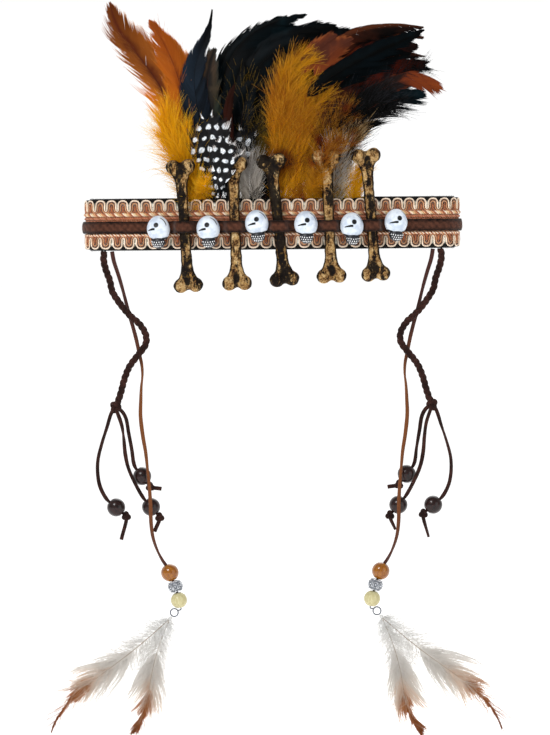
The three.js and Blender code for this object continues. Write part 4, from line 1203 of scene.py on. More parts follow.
# %% Quills
class Quill:
    """The line of a feather, with the way across it and the way through it at every point."""

    def __init__(self, x, z, length, headings, depth_at, samples=150):
        t = (np.arange(samples) + 0.5) / samples
        degrees = np.interp(t * (len(headings) - 1), np.arange(len(headings)), headings)
        weights = np.hanning(21)[1:-1] / np.hanning(21).sum()
        smooth = np.convolve(np.pad(degrees, 9, mode="edge"), weights, "valid")
        angle = np.radians(smooth)
        step = length / samples
        self.t = np.linspace(0, 1, samples + 1)
        self.x = x + np.concatenate([[0], np.cumsum(np.sin(angle) * step)])
        self.z = z + np.concatenate([[0], np.cumsum(np.cos(angle) * step)])
        self.y = depth_at(self.x, self.z, self.t)
        self.length = length
        self.line = np.stack([self.x, self.y, self.z], 1)
        self.tangent = unit(np.gradient(self.line, axis=0))
        slope = (depth_at(self.x + 1, self.z, self.t) - depth_at(self.x - 1, self.z, self.t)) / 2
        facing = unit(np.stack([slope, -1 + 0 * slope, 0 * slope], 1))
        self.front = unit(facing - np.sum(facing * self.tangent, 1, keepdims=True) * self.tangent)
        self.across = np.cross(self.front, self.tangent) * -1

    def at(self, t, which):
        """One of the arrays above, read at shares t of the way to the tip."""
        return np.stack([np.interp(t, self.t, which[:, k]) for k in range(3)], -1)


def crest_depth(layer):
    """A feather stands on the felt's face, then opens out to its own layer above the felt."""
    def depth_at(x, z, t):
        face = LONG_CENTRE - np.sqrt((LONG_ARC + 0.7) ** 2 - x**2)
        risen = eased(np.clip((z - 18.1) / 8.2, 0, 1))
        return face + risen * (layer - 1.6) * 1.15 * (1 + 0.8 * z / 130)
    return depth_at


def shaft(quill, thick):
    """The bare quill, which thins out towards the tip."""
    t = np.linspace(0, 0.97, 44)
    size = (thick * (1 - 0.85 * t ** 1.3))[:, None, None]
    line, front = quill.at(t, quill.line), quill.at(t, quill.front)
    return sweep(line, oval(1, 0.75, 6)[None] * size, front, lot=0.5, shaft=1, quill=t)


# %% [markdown]
# ## Barbs of a vane
# The barbs lie edge to edge, so each blade is wider than the space between two of them. Neighbours
# keep nearly the same angle, which makes the vane look combed, and now and then a split runs in from
# the edge where the angle jumps. A barb reaches forward as well as out, so its length follows the
# width of the feather at the place where the barb ends: that is what draws the tip to a point.

# %% Shapes and barbs
SHAPES = {  # places along the vane, and the share of the whole width there
    "hackle": ([0, .15, .35, .55, .72, .86, .94, 1], [.5, .75, .95, 1, .85, .5, .24, .03]),
    "blade": ([0, .1, .3, .55, .72, .86, .94, 1], [.5, .75, 1, 1, .92, .62, .28, .03]),
    "coque": ([0, .1, .3, .55, .75, .88, .96, 1], [.5, .75, 1, 1, .88, .62, .32, .06]),
    "round": ([0, .12, .3, .55, .75, .9, .97, 1], [.3, .5, .75, .95, 1, .88, .6, .3]),
    "hook": ([0, .15, .35, .55, .7, .82, .92, 1], [.5, .8, 1, 1, .7, .36, .12, .03]),
    "frayed": ([0, .2, .42, .58, .66, 1], [.5, 1, .85, .5, .1, .01]),
    "notched": ([0, .2, .45, .62, .7, .8, .92, 1], [.5, .9, 1, .8, .3, .12, .28, .05]),
    "plume": ([0, .1, .3, .5, .75, .9, 1], [.7, .9, 1, 1, .9, .7, .4])}


def barb_reaches(quill, t, start, width, shape, lean, rag):
    """How far out each barb comes, from the width of the feather at the place where the barb ends."""
    forward = 1 / math.tan(math.radians(sum(lean) / 2))
    reach = np.full(len(t), width / 4)
    for _ in range(8):
        tip_at = np.minimum(t + forward * reach / quill.length, 1)
        share = np.interp((tip_at - start) / (1 - start), *SHAPES[shape])
        reach = 0.5 * reach + 0.5 * width / 2 * share
    reach = reach * (1 + chance.normal(0, rag, len(t)) * 0.4 + wander(len(t), 8, rag * 0.8))
    return np.clip(reach, 0.35, width)


def barb_swings(count, many, rag, loose):
    """How many degrees each barb turns from the rest; at a split its neighbours spring apart."""
    jump = np.zeros(count)
    for _ in range(many):
        span = np.arange(count) - chance.integers(4, max(6, count - 4))
        jump += np.where(span > 0, np.exp(-span / 12), -np.exp(span / 12) * 0.5) * chance.uniform(2, 6)
    return wander(count, 14, 1.5 + rag * 6) + jump + chance.normal(0, 0.5 + loose * 8 + rag * 3, count)


# %% [markdown]
# Each barb is then walked outwards in four steps. It follows the quill's own curve: at every step it
# is carried by the quill at the place it has reached, so a vane stays whole round a tight bend.

# %% Vane
def vane(quill, width, shape="hackle", start=0.2, end=0.995, lean=(42, 11), spacing=0.46, blade=0.7,
         ragged=(0.1, 0.1), splits=(3, 3), cup=1.4, steps=4, loose=0.0, skew=(1, 1), finish=0):
    """Barbs on both sides; width is the whole width of the vane, and the pairs are left and right."""
    parts = []
    count = int(quill.length * (end - start) / spacing)
    u = np.linspace(0, 1, steps + 1)
    for side, rag, many, share in zip((-1, 1), ragged, splits, skew):
        wide = width * share
        t = np.clip(np.linspace(start, end, count) + chance.normal(0, 0.0012, count), 0, 1)
        reach = barb_reaches(quill, t, start, wide, shape, lean, rag)
        swing = barb_swings(count, many, rag, loose)
        tipward = np.clip((t - 0.75) / 0.25, 0, 1)
        at_root = (lean[0] - 16 * tipward)[:, None]
        at_tip = (lean[1] - 5 * tipward)[:, None]
        angle = np.radians(np.maximum(at_root + (at_tip - at_root) * u**0.8 + swing[:, None] * u * u, 1.5))
        length = np.minimum(reach / np.maximum(np.mean(np.sin(angle), axis=1), 0.1), reach * 4.2)
        mid = (angle[:, 1:] + angle[:, :-1]) / 2
        step = (length / steps)[:, None]
        out = np.concatenate([np.zeros((count, 1)), np.cumsum(np.sin(mid) * step, 1)], 1)
        forth = np.concatenate([np.zeros((count, 1)), np.cumsum(np.cos(mid) * step, 1)], 1)
        here = np.clip(t[:, None] + forth / quill.length, 0, 1)
        past = np.maximum(t[:, None] + forth / quill.length - 1, 0) * quill.length
        base, along = quill.at(here, quill.line), quill.at(here, quill.tangent)
        across, front = quill.at(here, quill.across) * side, quill.at(here, quill.front)
        lift = -cup * (reach / (wide / 2)) + wander(count, 9, 0.3) + chance.normal(0, 0.08 + loose, count)
        lift = lift[:, None] * u**2 + 0.25 * np.sin(np.pi * u)
        spine = base + out[..., None] * across + past[..., None] * along + lift[..., None] * front
        half = (blade / 2) * (0.12 + 0.88 * np.maximum(1 - u**2.5, 0.0))
        outwards, onwards = np.gradient(out, axis=1), np.gradient(forth, axis=1)
        slope = outwards / np.maximum(np.hypot(outwards, onwards), 1e-6)
        beside = np.sqrt(np.maximum(1 - slope**2, 0))[..., None] * across - slope[..., None] * along
        beside = unit(beside + front * 0.3 * side) * half[None, :, None]
        points = np.stack([spine + beside, spine - beside], 2)
        index = np.arange(count)[:, None] * (steps + 1) * 2 + np.arange(steps)[None] * 2
        faces = np.stack([index, index + 1, index + 3, index + 2], -1).reshape(-1, 4).tolist()
        lots = np.clip(0.5 + wander(count, 10, 0.2) + chance.normal(0, 0.07, count), 0, 1)
        each = (steps + 1) * 2
        parts.append(Part(
            points.reshape(-1, 3), faces, finish, quill=np.repeat(t, each), lot=np.repeat(lots, each),
            reach=np.tile(np.repeat(u, 2), count), off=np.repeat((out * side).reshape(-1), 2),
            run=np.repeat((t[:, None] * quill.length + forth).reshape(-1), 2)))
    return parts


# %% [markdown]
# ## Down and marabou
# Down barbs are long and soft. They start near the angle of the quill, spread in every direction and
# curl. Each is a narrow ribbon, and thin barbules stand off both its edges, which is what makes
# marabou look like smoke and not like straw.

# %% Down
def down(roots, ways, lengths, bends, marks, fuzz, steps, ribbon, finish):
    """Curling barbs with barbules: roots, first ways, lengths, and how the way has changed by the tip."""
    count = len(roots)
    u = np.linspace(0, 1, steps + 1)
    wobble = chance.normal(0, 1, (count, 3))
    beat = u[None] * chance.uniform(0.5, 1.3, (count, 1)) + chance.uniform(0, 1, (count, 1))
    beat = np.sin(2 * np.pi * beat)[..., None]
    heading = unit(ways[:, None] + bends[:, None] * (u**1.3)[None, :, None] + 0.12 * beat * wobble[:, None])
    step = (lengths / steps)[:, None, None]
    spine = roots[:, None] + np.concatenate([np.zeros((count, 1, 3)), np.cumsum(heading[:, 1:] * step, 1)], 1)
    facing = unit(chance.normal(0, 0.4, (count, 1, 3)) + np.array([0, -1.0, 0]))
    beside = unit(np.cross(heading, facing))
    half = (ribbon / 2) * (1 - 0.8 * u)[None, :, None]
    edges = np.stack([spine + beside * half, spine - beside * half], 2).reshape(count, -1, 3)
    size = fuzz * (1 - 0.7 * u[1:])[None] * chance.uniform(0.5, 1.3, (count, steps))
    tips = []
    for hand in (-1, 1):
        spread = chance.normal(0, 0.22, (count, steps, 3))
        way = unit(heading[:, 1:] * 0.9 + beside[:, 1:] * hand * 0.7 + spread)
        tips.append(spine[:, 1:] + way * size[..., None])
    points = np.concatenate([edges, tips[0], tips[1]], 1)
    each = points.shape[1]
    base = np.arange(count)[:, None] * each
    i = np.arange(steps)
    strips = np.stack([base + 2 * i, base + 2 * i + 1, base + 2 * i + 3, base + 2 * i + 2], -1).reshape(-1, 4)
    first_tip = 2 * (steps + 1)
    one = np.stack([base + 2 * i + 2, base + 2 * i + 3, base + first_tip + i], -1).reshape(-1, 3)
    two = np.stack([base + 2 * i + 3, base + 2 * i + 2, base + first_tip + steps + i], -1).reshape(-1, 3)
    faces = strips.tolist() + one.tolist() + two.tolist()
    reach = np.concatenate([np.repeat(u, 2), np.minimum(u[1:] + 0.1, 1), np.minimum(u[1:] + 0.1, 1)])
    return Part(points.reshape(-1, 3), faces, finish, reach=np.tile(reach, count),
                **{k: np.repeat(np.broadcast_to(v, count), each) for k, v in marks.items()})


# %% [markdown]
# A plume is down that springs from one quill, to both sides and to the front and back. Its barbs near
# the foot stand off widely and those near the tip point forward, as in marabou.

# %% Plume
def plume(quill, width, start, end, count, long=(0.7, 1.2), lean=(40, 10), shape="plume", body=0.5, fuzz=2.1,
          steps=6, curl=0.3, sides=None, ribbon=0.3, skew=(1, 1), finish=0):
    """Down along a quill: width across in millimetres, body the spread to the front and back."""
    t = chance.uniform(start, end, count)
    tipward = (t - start) / (end - start)
    side = chance.choice([-1.0, 1.0], count) if sides is None else chance.choice(np.array(sides, float), count)
    angle = np.radians(np.maximum(lean[0] + (lean[1] - lean[0]) * tipward + chance.normal(0, 9, count), 2))
    base, along = quill.at(t, quill.line), quill.at(t, quill.tangent)
    across, front = quill.at(t, quill.across), quill.at(t, quill.front)
    depth = chance.normal(0, body, count)
    ways = unit(along * np.cos(angle)[:, None] + across * (side * np.sin(angle))[:, None]
                + front * (depth * np.sin(angle))[:, None])
    share = np.interp(tipward, *SHAPES[shape])
    lengths = width / 2 * share * chance.uniform(*long, count) / np.maximum(np.sin(angle), 0.42)
    lengths = lengths * np.where(side < 0, skew[0], skew[1])
    bends = along * 0.3 + chance.normal(0, curl, (count, 3)) * [1, 0.6, 1]
    lots = np.clip(0.5 + 0.25 * np.sin(t * 37 + side * 2) + chance.normal(0, 0.16, count), 0, 1)
    return down(base, ways, lengths, bends, {"quill": t, "lot": lots}, fuzz, steps, ribbon, finish)


# %% [markdown]
# ## Feather finishes
# The colour of a feather changes along the quill, and again from the middle of the barb to its tip.
# A ramp gives the first, two masks the second, and every barb is a little lighter or darker than the
# next. Light passes through thin barbs, so part of each finish is a translucent shader.

# %% Feather finish
finishes = {}


def add_finish(key, name, stops, heart=None, rim=None, heart_mask=(.45, .05), rim_mask=(.6, 1), vary=.35,
               rough=.5, thin=.3, gloss=.15, shaft_colour="c8b090", patches=None, dark="000000", upper=None):
    """A feather's finish, kept under a short key; stops are places and colours in turn."""
    f, words = Finish(name), stops.split()
    stops = list(zip(map(float, words[::2]), words[1::2]))
    along, reach, lot = f.mark("quill"), f.mark("reach"), f.mark("lot")
    patch = f.noise(90, 3.0)
    colour = f.ramp(along + (lot - 0.5) * 0.14 + (patch - 0.5) * 0.16, stops)
    if heart:
        colour = f.mix(colour, paint(heart), f.rise(reach + (patch - 0.5) * 0.5, *heart_mask))
    if rim:
        colour = f.mix(colour, paint(rim), f.rise(reach + (patch - 0.5) * 0.3, *rim_mask))
    if patches:
        code, low, high, scale = patches
        colour = f.mix(colour, paint(code), f.rise(f.noise(scale, 3.0), low, high))
    if upper:
        colour = f.mix(colour, paint(upper), f.rise(f.mark("off"), 1.5, -1.5) * f.rise(along, 0.35, 0.55))
    colour = f.mix(colour, paint(dark), f.rise(lot, 0.55, 0.0) * vary)
    colour = f.mix(colour, paint(shaft_colour), f.mark("shaft") * 0.85)
    fine = f.noise(1500, 2.0)
    f.surface(Base_Color=colour, Roughness=rough + fine * 0.15, Normal=f.bump(fine, 0.05),
              Specular_IOR_Level=gloss)
    through = f.node("BsdfTranslucent", {}, {"Color": colour})
    both = f.node("MixShader", {}, {0: thin, 1: Wire(f, f.shader.outputs[0]), 2: through})
    f.links.new(both.socket, f.nodes["Material Output"].inputs["Surface"])
    finishes[key] = f.material


# %% [markdown]
# Each finish is one call. The stops run from the foot of the quill to its tip. Heart is the colour
# beside the quill, rim the one at the ends of the barbs, and patches are blots of a second colour.

# %% Finishes of the yellow, orange and rust feathers
add_finish("rust_left", "rust_left", "0 e0a005 .3 e39508 .42 cf7610 .55 a45c1c .8 7c400f 1 642b0a",
           heart="5e260a", rim="c88a52", heart_mask=(.35, 0), rim_mask=(.8, 1.05), vary=.3,
           shaft_colour="3a1a0a", dark="4e1e06")
add_finish("rust_short", "rust_short", "0 dc9708 .4 d8820c .58 b8600e 1 94440e", heart="8e4008",
           rim="cf8a48", heart_mask=(.3, 0), rim_mask=(.8, 1.05), vary=.28, shaft_colour="5e260c",
           dark="5a2606")
add_finish("yellow", "yellow_down", "0 c58904 .3 dea004 .7 eeae08 1 e4940c", rim="f2c030", vary=.3,
           rough=.7, thin=.3, shaft_colour="a8640a", dark="864604")
add_finish("orange", "orange_down", "0 cf9206 .25 eaa006 .45 c77f0a .65 ab660d .8 c0820a 1 d0940c",
           rim="e2a22a", vary=.45, rough=.7, thin=.25, shaft_colour="a85e10",
           patches=("8a4a0e", .48, .64, 38), dark="5e2c04")
add_finish("orange_right", "orange_right_down", "0 cf9108 .3 c5840b .6 9a5e12 1 7c4212", rim="c98c2c",
           vary=.5, rough=.7, thin=.25, shaft_colour="9a5214", patches=("87390e", .52, .64, 44),
           dark="4e2206")
add_finish("ember", "ember", "0 a8480e .5 a04812 .75 7a3612 1 3c1a0e", rim="9a5226", vary=.4, rough=.6,
           thin=.15, shaft_colour="6a3012", dark="2e0e04", patches=("4a2010", .5, .64, 60))
add_finish("tan", "tan_down", "0 b0860a .35 6e4f10 .6 6a4a20 1 a5814e", rim="e0bd8c", rim_mask=(.55, .95),
           vary=.5, rough=.75, thin=.3, shaft_colour="6a4a20", dark="1e1208")
add_finish("olive", "olive_down", "0 5a3e06 .4 6e560c .8 524214 1 7a6420", rim="937420", vary=.5, rough=.7,
           thin=.2, shaft_colour="2e240c", dark="0e0a04")
print("feather finishes:", list(finishes))

# %% [markdown]
# The black feathers are cock's tail feathers with a green or a blue sheen, and some of the long ones
# are rust at the heart. Their sheen is kept in the colour, because a strong mirror glint on so many
# small blades would sparkle.

# %% Finishes of the dark and the pale feathers
add_finish("black", "black_coque", "0 080603 .3 030404 .55 020405 .75 030a0e 1 020303", heart="020303",
           heart_mask=(.3, 0), vary=.5, rough=.4, thin=.02, gloss=.04, shaft_colour="0a0908",
           patches=("07171c", .5, .7, 38))
add_finish("black_blue", "black_blue_coque", "0 0a0908 .35 0b0f15 .6 18222d .85 06080c 1 030405",
           rim="151d28", vary=.5, rough=.4, thin=.02, gloss=.05, shaft_colour="08080a")
add_finish("bronze", "bronze_coque", "0 0c0806 .3 15130e .5 1f2a20 .68 2e2618 .85 3c2c1e 1 120c08",
           heart="0c0806", rim="2c2c24", heart_mask=(.5, .1), vary=.5, rough=.4, thin=.03, gloss=.12,
           shaft_colour="300e08", patches=("3c3020", .55, .68, 60))
add_finish("rust_black", "rust_black", "0 6a3c0a .2 3e1c0a .4 54220c .6 4a2010 .8 2c140c 1 0c0807",
           rim="040303", rim_mask=(.45, .85), vary=.5, rough=.42, thin=.05, gloss=.06,
           shaft_colour="5a3018", patches=("040404", .5, .62, 30), upper="4e2614")
add_finish("rust_red", "rust_red", "0 8a4c08 .25 6a2a0a .5 641e08 .75 5a1a0a .88 2c0c06 1 060303",
           rim="060303", rim_mask=(.6, 1), vary=.5, rough=.42, thin=.05, gloss=.06, shaft_colour="5a2c18",
           patches=("060303", .54, .66, 34))
add_finish("rust_tip", "rust_tip", "0 140a04 .4 1c0c06 .76 1a0a06 .86 74300f 1 80380f", rim="74300f",
           vary=.3, rough=.5, thin=.1, gloss=.15, shaft_colour="4a1e0c", dark="1e0a06")
add_finish("black_down", "black_down", "0 0e0a04 .4 050403 .7 050504 1 101012", rim="3a3b40",
           rim_mask=(.8, 1.05), vary=.5, rough=.6, thin=.06, gloss=.06, shaft_colour="0a0908")
add_finish("dark_red", "dark_red", "0 1c0a04 .5 2e0e05 1 1c0803", vary=.4, thin=.03, gloss=.05,
           shaft_colour="4a2010")
add_finish("grey", "grey_down", "0 9a9080 .4 b4aca2 .8 a09a94 1 6c6058", rim="e0dad2", vary=.35, rough=.75,
           thin=.25, shaft_colour="f4f2ee", dark="241f1a")
add_finish("white", "white_down", "0 e8e8e7 .46 dfdad4 .58 d8c4b2 .68 b07a52 .8 9a5c34 1 7a4222",
           rim="e8dcd2", rim_mask=(.8, 1.2), vary=.2, rough=.7, thin=.4, shaft_colour="a08a70",
           dark="b4aa98")
print("feather finishes:", len(finishes))

# %% [markdown]
# The spotted feathers are guinea fowl: black, with rows of white ovals. The vane's marks say how far a
# point lies from the quill and along it, so the spots are a staggered grid in those two lengths.

# %% Spotted finish
def spotted_finish():
    f = Finish("guinea_fowl")
    lot, reach = f.mark("lot"), f.mark("reach")
    grown = f.mark("run") / 60 + 1
    run = grown.maths("LOGARITHM", grown, math.e) * 14.5
    row = run.maths("FLOOR", run)
    stagger = (row * 0.5).maths("FRACT", row * 0.5)
    across = f.mark("off") / grown * 0.31 + stagger + (f.noise(150, 2.0) - 0.5) * 0.9
    x = across.maths("FRACT", across) - 0.5
    shifted = run + (f.noise(120, 2.0) - 0.5) * 0.9
    y = shifted.maths("FRACT", shifted) - 0.5
    away = (x * x * 0.8 + y * y * 1.3) ** 0.5 + (f.noise(420, 2.0) - 0.5) * 0.1
    edge = f.rise(reach, 0.7, 0.95) * f.rise(f.mark("run"), 12.0, 24.0)
    size = (0.26 + (lot - 0.5) * edge * 0.9) * f.rise(f.mark("run"), 2.0, 10.0)
    spot = f.rise(away - size, 0.05, -0.04)
    white = f.mix(paint("b9c0c8"), paint("eef2f6"), f.rise(f.noise(900, 2.0), 0.35, 0.6))
    white = f.mix(white, paint("b8a596"), edge * 0.6)
    ground = f.mix(paint("07080b"), paint("1a1d24"), f.rise(f.noise(200, 2.0), 0.5, 0.75))
    colour = f.mix(ground, white, spot)
    colour = f.mix(colour, paint("2a241e"), f.mark("shaft"))
    return f.surface(Base_Color=colour, Roughness=0.45 + lot * 0.2, Normal=f.bump(lot, 0.05),
                     Specular_IOR_Level=0.15)


finishes["spotted"] = spotted_finish()
print("finish:", finishes["spotted"].name)

# %% [markdown]
# ## The crest
# The nineteen feathers keep the feet, the lengths and the curves of the solids. Each row of the table
# says where the quill stands, how long it is, how far forward in the crest it lies, and how it turns
# on its way up.

# %% Crest table
FOOT_HEIGHT, HALF_LOOP = 8.3, 125.0
CREST = {  # foot as a share of half the loop, length, layer, headings in degrees from straight up
    "rust_hackle_long": (-.43, 152, 8, (-4, -8, -16, -34, -40, -8)),
    "rust_hackle_short": (-.405, 132, 7, (-6, -6, -6, -8, -26, -34)),
    "yellow_plume": (-.37, 80, 3, (-10, -26, -24, -20, -17, -18)),
    "spotted_feather_left": (-.335, 60, 1, (4, 4, 0, -2, -4, -6)),
    "black_hook_feather": (-.3, 136, 5, (-9, -8, -11, -8, 28, 4)),
    "bronze_feather": (-.27, 108, 6, (-1, -2, -10, -11, 4, 20)),
    "spotted_feather_right": (-.24, 56, 2, (4, 8, 14, 20, 22, 26)),
    "black_arch_outer": (-.21, 162, 10, (-2, -6, -7, 20, 62, 84)),
    "black_arch_inner": (-.17, 136, 9, (0, -3, 2, 22, 50, 76)),
    "grey_plume_left": (-.12, 33, 1, (4, 2, 0, -2, -4, -5)),
    "rust_black_top": (-.075, 188, 11, (7, 13, 25, 47, 78, 98)),
    "orange_plume_centre": (.02, 108, 4, (2, -3, -1, 6, 16, 36)),
    "rust_black_middle": (.065, 154, 8, (9, 15, 24, 43, 69, 88)),
    "orange_plume_right": (.13, 126, 5, (4, 8, 10, 20, 44, 68)),
    "black_right_feather": (.175, 138, 7, (10, 19, 30, 46, 66, 84)),
    "rust_tip_feather": (.22, 136, 6, (11, 19, 28, 48, 76, 128)),
    "black_plume_right": (.27, 100, 3, (6, 14, 18, 30, 58, 82)),
    "grey_plume_right": (.32, 38, 1, (2, 3, 4, 5, 6, 7)),
    "tan_plume_right": (.365, 66, 2, (2, 4, 8, 14, 30, 58))}


# %% [markdown]
# A feather is built step by step from a few words: vane and down on its own quill, and beside and
# tufts for more of the same on quills that stand a little to one side, because a crest that is wired
# by hand holds small bundles and not single feathers. Each step returns the feather, so the steps
# read as one recipe, and `stand` makes the piece.

# %% A crest feather
SLOTS = {"yellow": "orange_feather", "orange": "orange_feather", "orange_right": "orange_feather",
         "tan": "orange_feather", "bronze": "bronze_feather", "spotted": "spotted_feather",
         "grey": "grey_feather"}


def other_quill(foot, length, headings, layer):
    """A quill of its own, for a feather that lies across the others."""
    return Quill(foot, FOOT_HEIGHT, length, headings, crest_depth(layer))


class Feather:
    def __init__(self, name, *looks):
        self.name, self.looks = name, looks
        self.parts = [shaft(self.neighbour(), 0.6 if "plume" in name else 0.85)]

    def neighbour(self, shift=0.0, scale=1.0, turn=0.0, deeper=0.0):
        """Its own quill, or one that stands shift beside it and turn degrees off, in another layer."""
        foot, length, layer, headings = CREST[self.name]
        bent = [h + turn * min(1.0, i / 2) for i, h in enumerate(headings)]
        return other_quill(foot * HALF_LOOP + shift, length * scale, bent, layer + deeper)

    def vane(self, width, shape, start, quill=None, place=(), **how):
        self.parts += vane(quill or self.neighbour(*place), width, shape, start, **how)
        return self

    def down(self, width, start, end, count, quill=None, **how):
        self.parts.append(plume(quill or self.neighbour(), width, start, end, count, **how))
        return self

    def beside(self, width, shape, *places, **how):
        for place in places:
            quill = self.neighbour(*place)
            self.parts.append(shaft(quill, 0.7))
            self.parts += vane(quill, width, shape, **{"spacing": 0.54, "blade": 0.8, **how})
        return self

    def tufts(self, width, start, end, count, *places, **how):
        for place in places:
            self.down(width, start, end, count, self.neighbour(*place), **how)
        return self

    def stand(self):
        by_name = "rust_feather" if self.name.startswith("rust") else "black_feather"
        slot = SLOTS.get(self.looks[0], by_name)
        made = piece(self.name + "_barbs", self.parts, [finishes[f] for f in self.looks], slot, [self.name])
        print(self.name, len(made.data.polygons), "faces")


# %% [markdown]
# ## The left of the crest
# Two rust hackles lean out to the left over a yellow plume. Their barbs are loose at the left edge,
# where the real ones are brushed open, and close at the right.

# %% Rust hackles and the yellow plume
(Feather("rust_hackle_long", "rust_left")
 .vane(28, "blade", .12, ragged=(.3, .08), splits=(8, 2), cup=2, loose=.03, skew=(.8, 1.15))
 .down(22, 0, .4, 160)
 .down(22, .35, .8, 60, lean=(30, 16), sides=(-1,), fuzz=1)
 .stand())
(Feather("rust_hackle_short", "rust_short")
 .vane(25, "hackle", .12, ragged=(.28, .08), splits=(7, 2), cup=2, loose=.03)
 .beside(22, "hackle", (3, .92, 3, .5), ragged=(.1, .08))
 .down(22, 0, .5, 160)
 .down(22, .55, .92, 40, lean=(26, 12), fuzz=1)
 .stand())
(Feather("yellow_plume", "yellow")
 .down(28, 0, .82, 620, lean=(46, 18), skew=(.9, 1.1), curl=.5)
 .down(36, .2, .7, 70, lean=(70, 52), sides=(-1,))
 .down(32, .0, .3, 90, lean=(80, 60), sides=(-1,))
 .tufts(22, 0, .84, 260, (3, .84, 10, .9), (-3, .8, -6, .5), lean=(40, 16), curl=.55)
 .tufts(15, 0, .9, 160, (1, .4, 14, -2.6), lean=(30, 14))
 .tufts(15, .2, .8, 240, (4, .34, 22, -9), lean=(150, 30), curl=.4)
 .stand())

# %% [markdown]
# Two guinea feathers stand low in front, and a blue-black hook and a bronze bundle rise behind them.
# The bundle shows narrow dark red edges between its black ones.

# %% Spotted, hooked and bronze feathers
(Feather("spotted_feather_left", "spotted")
 .vane(28, "round", .1, end=.97, lean=(52, 24), ragged=(.12, .12), cup=1.2, skew=(.95, 1.1))
 .beside(22, "round", (3, .8, 12, -9), lean=(50, 22), ragged=(.15, .2), start=.3, skew=(.6, 1.1))
 .stand())
(Feather("black_hook_feather", "black_blue")
 .vane(21, "hook", .1, ragged=(.05, .08), splits=(1, 3), cup=2, skew=(1.05, .8))
 .beside(18, "coque", (6, .5, 2, .4), ragged=(.1, .1))
 .down(16, 0, .3, 90)
 .stand())
(Feather("bronze_feather", "bronze", "dark_red", "black")
 .vane(18, "coque", .1, ragged=(.1, .1), cup=2)
 .beside(7, "coque", (9, .78, 3, -4.4), finish=1)
 .beside(18, "coque", (8, .92, 8, 1.2), (-3, .8, 2, 1.4), (14, .8, 9, 1), finish=2)
 .down(20, 0, .6, 160, finish=2)
 .stand())
(Feather("spotted_feather_right", "spotted", "black_down")
 .vane(15, "round", .15, end=.9, lean=(50, 22), ragged=(.2, .2), cup=1, loose=.1)
 .down(24, .5, .98, 120, lean=(40, 20), finish=1)
 .stand())

# %% [markdown]
# ## The black arch
# Long black hackles rise behind the middle and arch to the right. One feather is too thin for that
# mass, so each of the two solids carries a fan of them, with olive wisps at the foot.

# %% Black arch and the grey fluff
(Feather("black_arch_outer", "black")
 .vane(25, "hackle", .1, ragged=(.3, .1), splits=(8, 3), cup=3, skew=(.35, 1.2))
 .beside(22, "coque", (5, .94, 4, .7), (-8, .96, 4, 1.4), (-7, .8, 4, 1.2), (12, .9, 7, .4), (3, .74, -4, .2),
         (17, .96, 3, 1), (24, .93, 6, 1.4), (31, .93, 3, 1.6), ragged=(.2, .1), skew=(.7, 1.1))
 .down(24, 0, .5, 160)
 .stand())
(Feather("black_arch_inner", "black", "olive")
 .vane(24, "coque", .1, ragged=(.1, .12), cup=3, skew=(.8, 1.2))
 .beside(24, "coque", (7, .95, 6, .5), (-8, .85, 3, .8), (14, .88, 8, .2), (22, .8, 6, 0), ragged=(.12, .12))
 .down(24, 0, .6, 160)
 .down(26, .22, .6, 240, finish=1, lean=(50, 24), ribbon=.25, curl=.5)
 .tufts(24, .35, .95, 260, (7, .55, 4, -1.4), (4, .48, 0, -3), (15, .5, 2, -2), finish=1, ribbon=.25,
        lean=(60, 30), curl=.6)
 .stand())
(Feather("grey_plume_left", "grey")
 .vane(19, "round", .1, lean=(50, 22), loose=.2, ragged=(.25, .25))
 .down(23, 0, .9, 420, lean=(50, 20), fuzz=1.5, ribbon=.22)
 .stand())

# %% [markdown]
# ## The middle and the right
# The longest feather is rust above and black below and lies over the arch. Under it stands the orange
# plume, whose tip hooks to the right: two quills of its own carry that hook.

# %% Rust and black top, and the orange plume
(Feather("rust_black_top", "rust_black", "black")
 .vane(22, "hackle", .1, ragged=(.04, .12), splits=(1, 4), cup=3, skew=(.35, 1.3))
 .beside(20, "hackle", (3, .96, 1, 1), (-4, .9, 1, 1.3), (-10, .9, 0, 1.5), (10, .88, 3, .5),
         (4, .84, 4, .8), ragged=(.04, .12), skew=(.5, 1.1))
 .vane(14, "hackle", .48, other_quill(-7.5, 172, (8, 18, 34, 58, 66, 64), 1.1), finish=1, ragged=(.06, .16),
       splits=(1, 5))
 .down(24, 0, .4, 300, finish=1)
 .vane(22, "round", .02, place=(3, .24, 0, -4), finish=1)
 .tufts(22, 0, .9, 160, (0, .26, 0, -8), finish=1)
 .stand())
(Feather("orange_plume_centre", "orange")
 .down(26, 0, .84, 620, body=.4, skew=(.45, 1), curl=.55)
 .tufts(22, 0, .86, 380, (4, .86, 3, -.8), (9, .84, 4, -.5), (13, .7, 3, -1.4), body=.4, skew=(.7, 1), curl=.6)
 .tufts(18, 0, .9, 200, (2, .45, 0, -1.8), (16, .4, 0, -1.6))
 .tufts(21, .5, .95, 200, (5, .84, 10, -1), (9, .78, 14, -.6), (1, .87, 6, -1.2), skew=(.7, 1), curl=.6)
 .down(17, .45, .98, 340, other_quill(2.5, 114, (2, -3, -1, 6, 24, 78), 2.8), body=.35, lean=(34, 8), curl=.3,
       fuzz=1.5)
 .down(16, .5, .98, 300, other_quill(8, 109, (2, -2, 0, 4, 22, 84), 2.4), body=.35, lean=(34, 8), curl=.3,
       fuzz=1.5)
 .stand())

# %% [markdown]
# To the right of the orange plume more rust and black feathers sweep out, with a second orange plume
# that is darker towards its tip and has embers of rust in it.

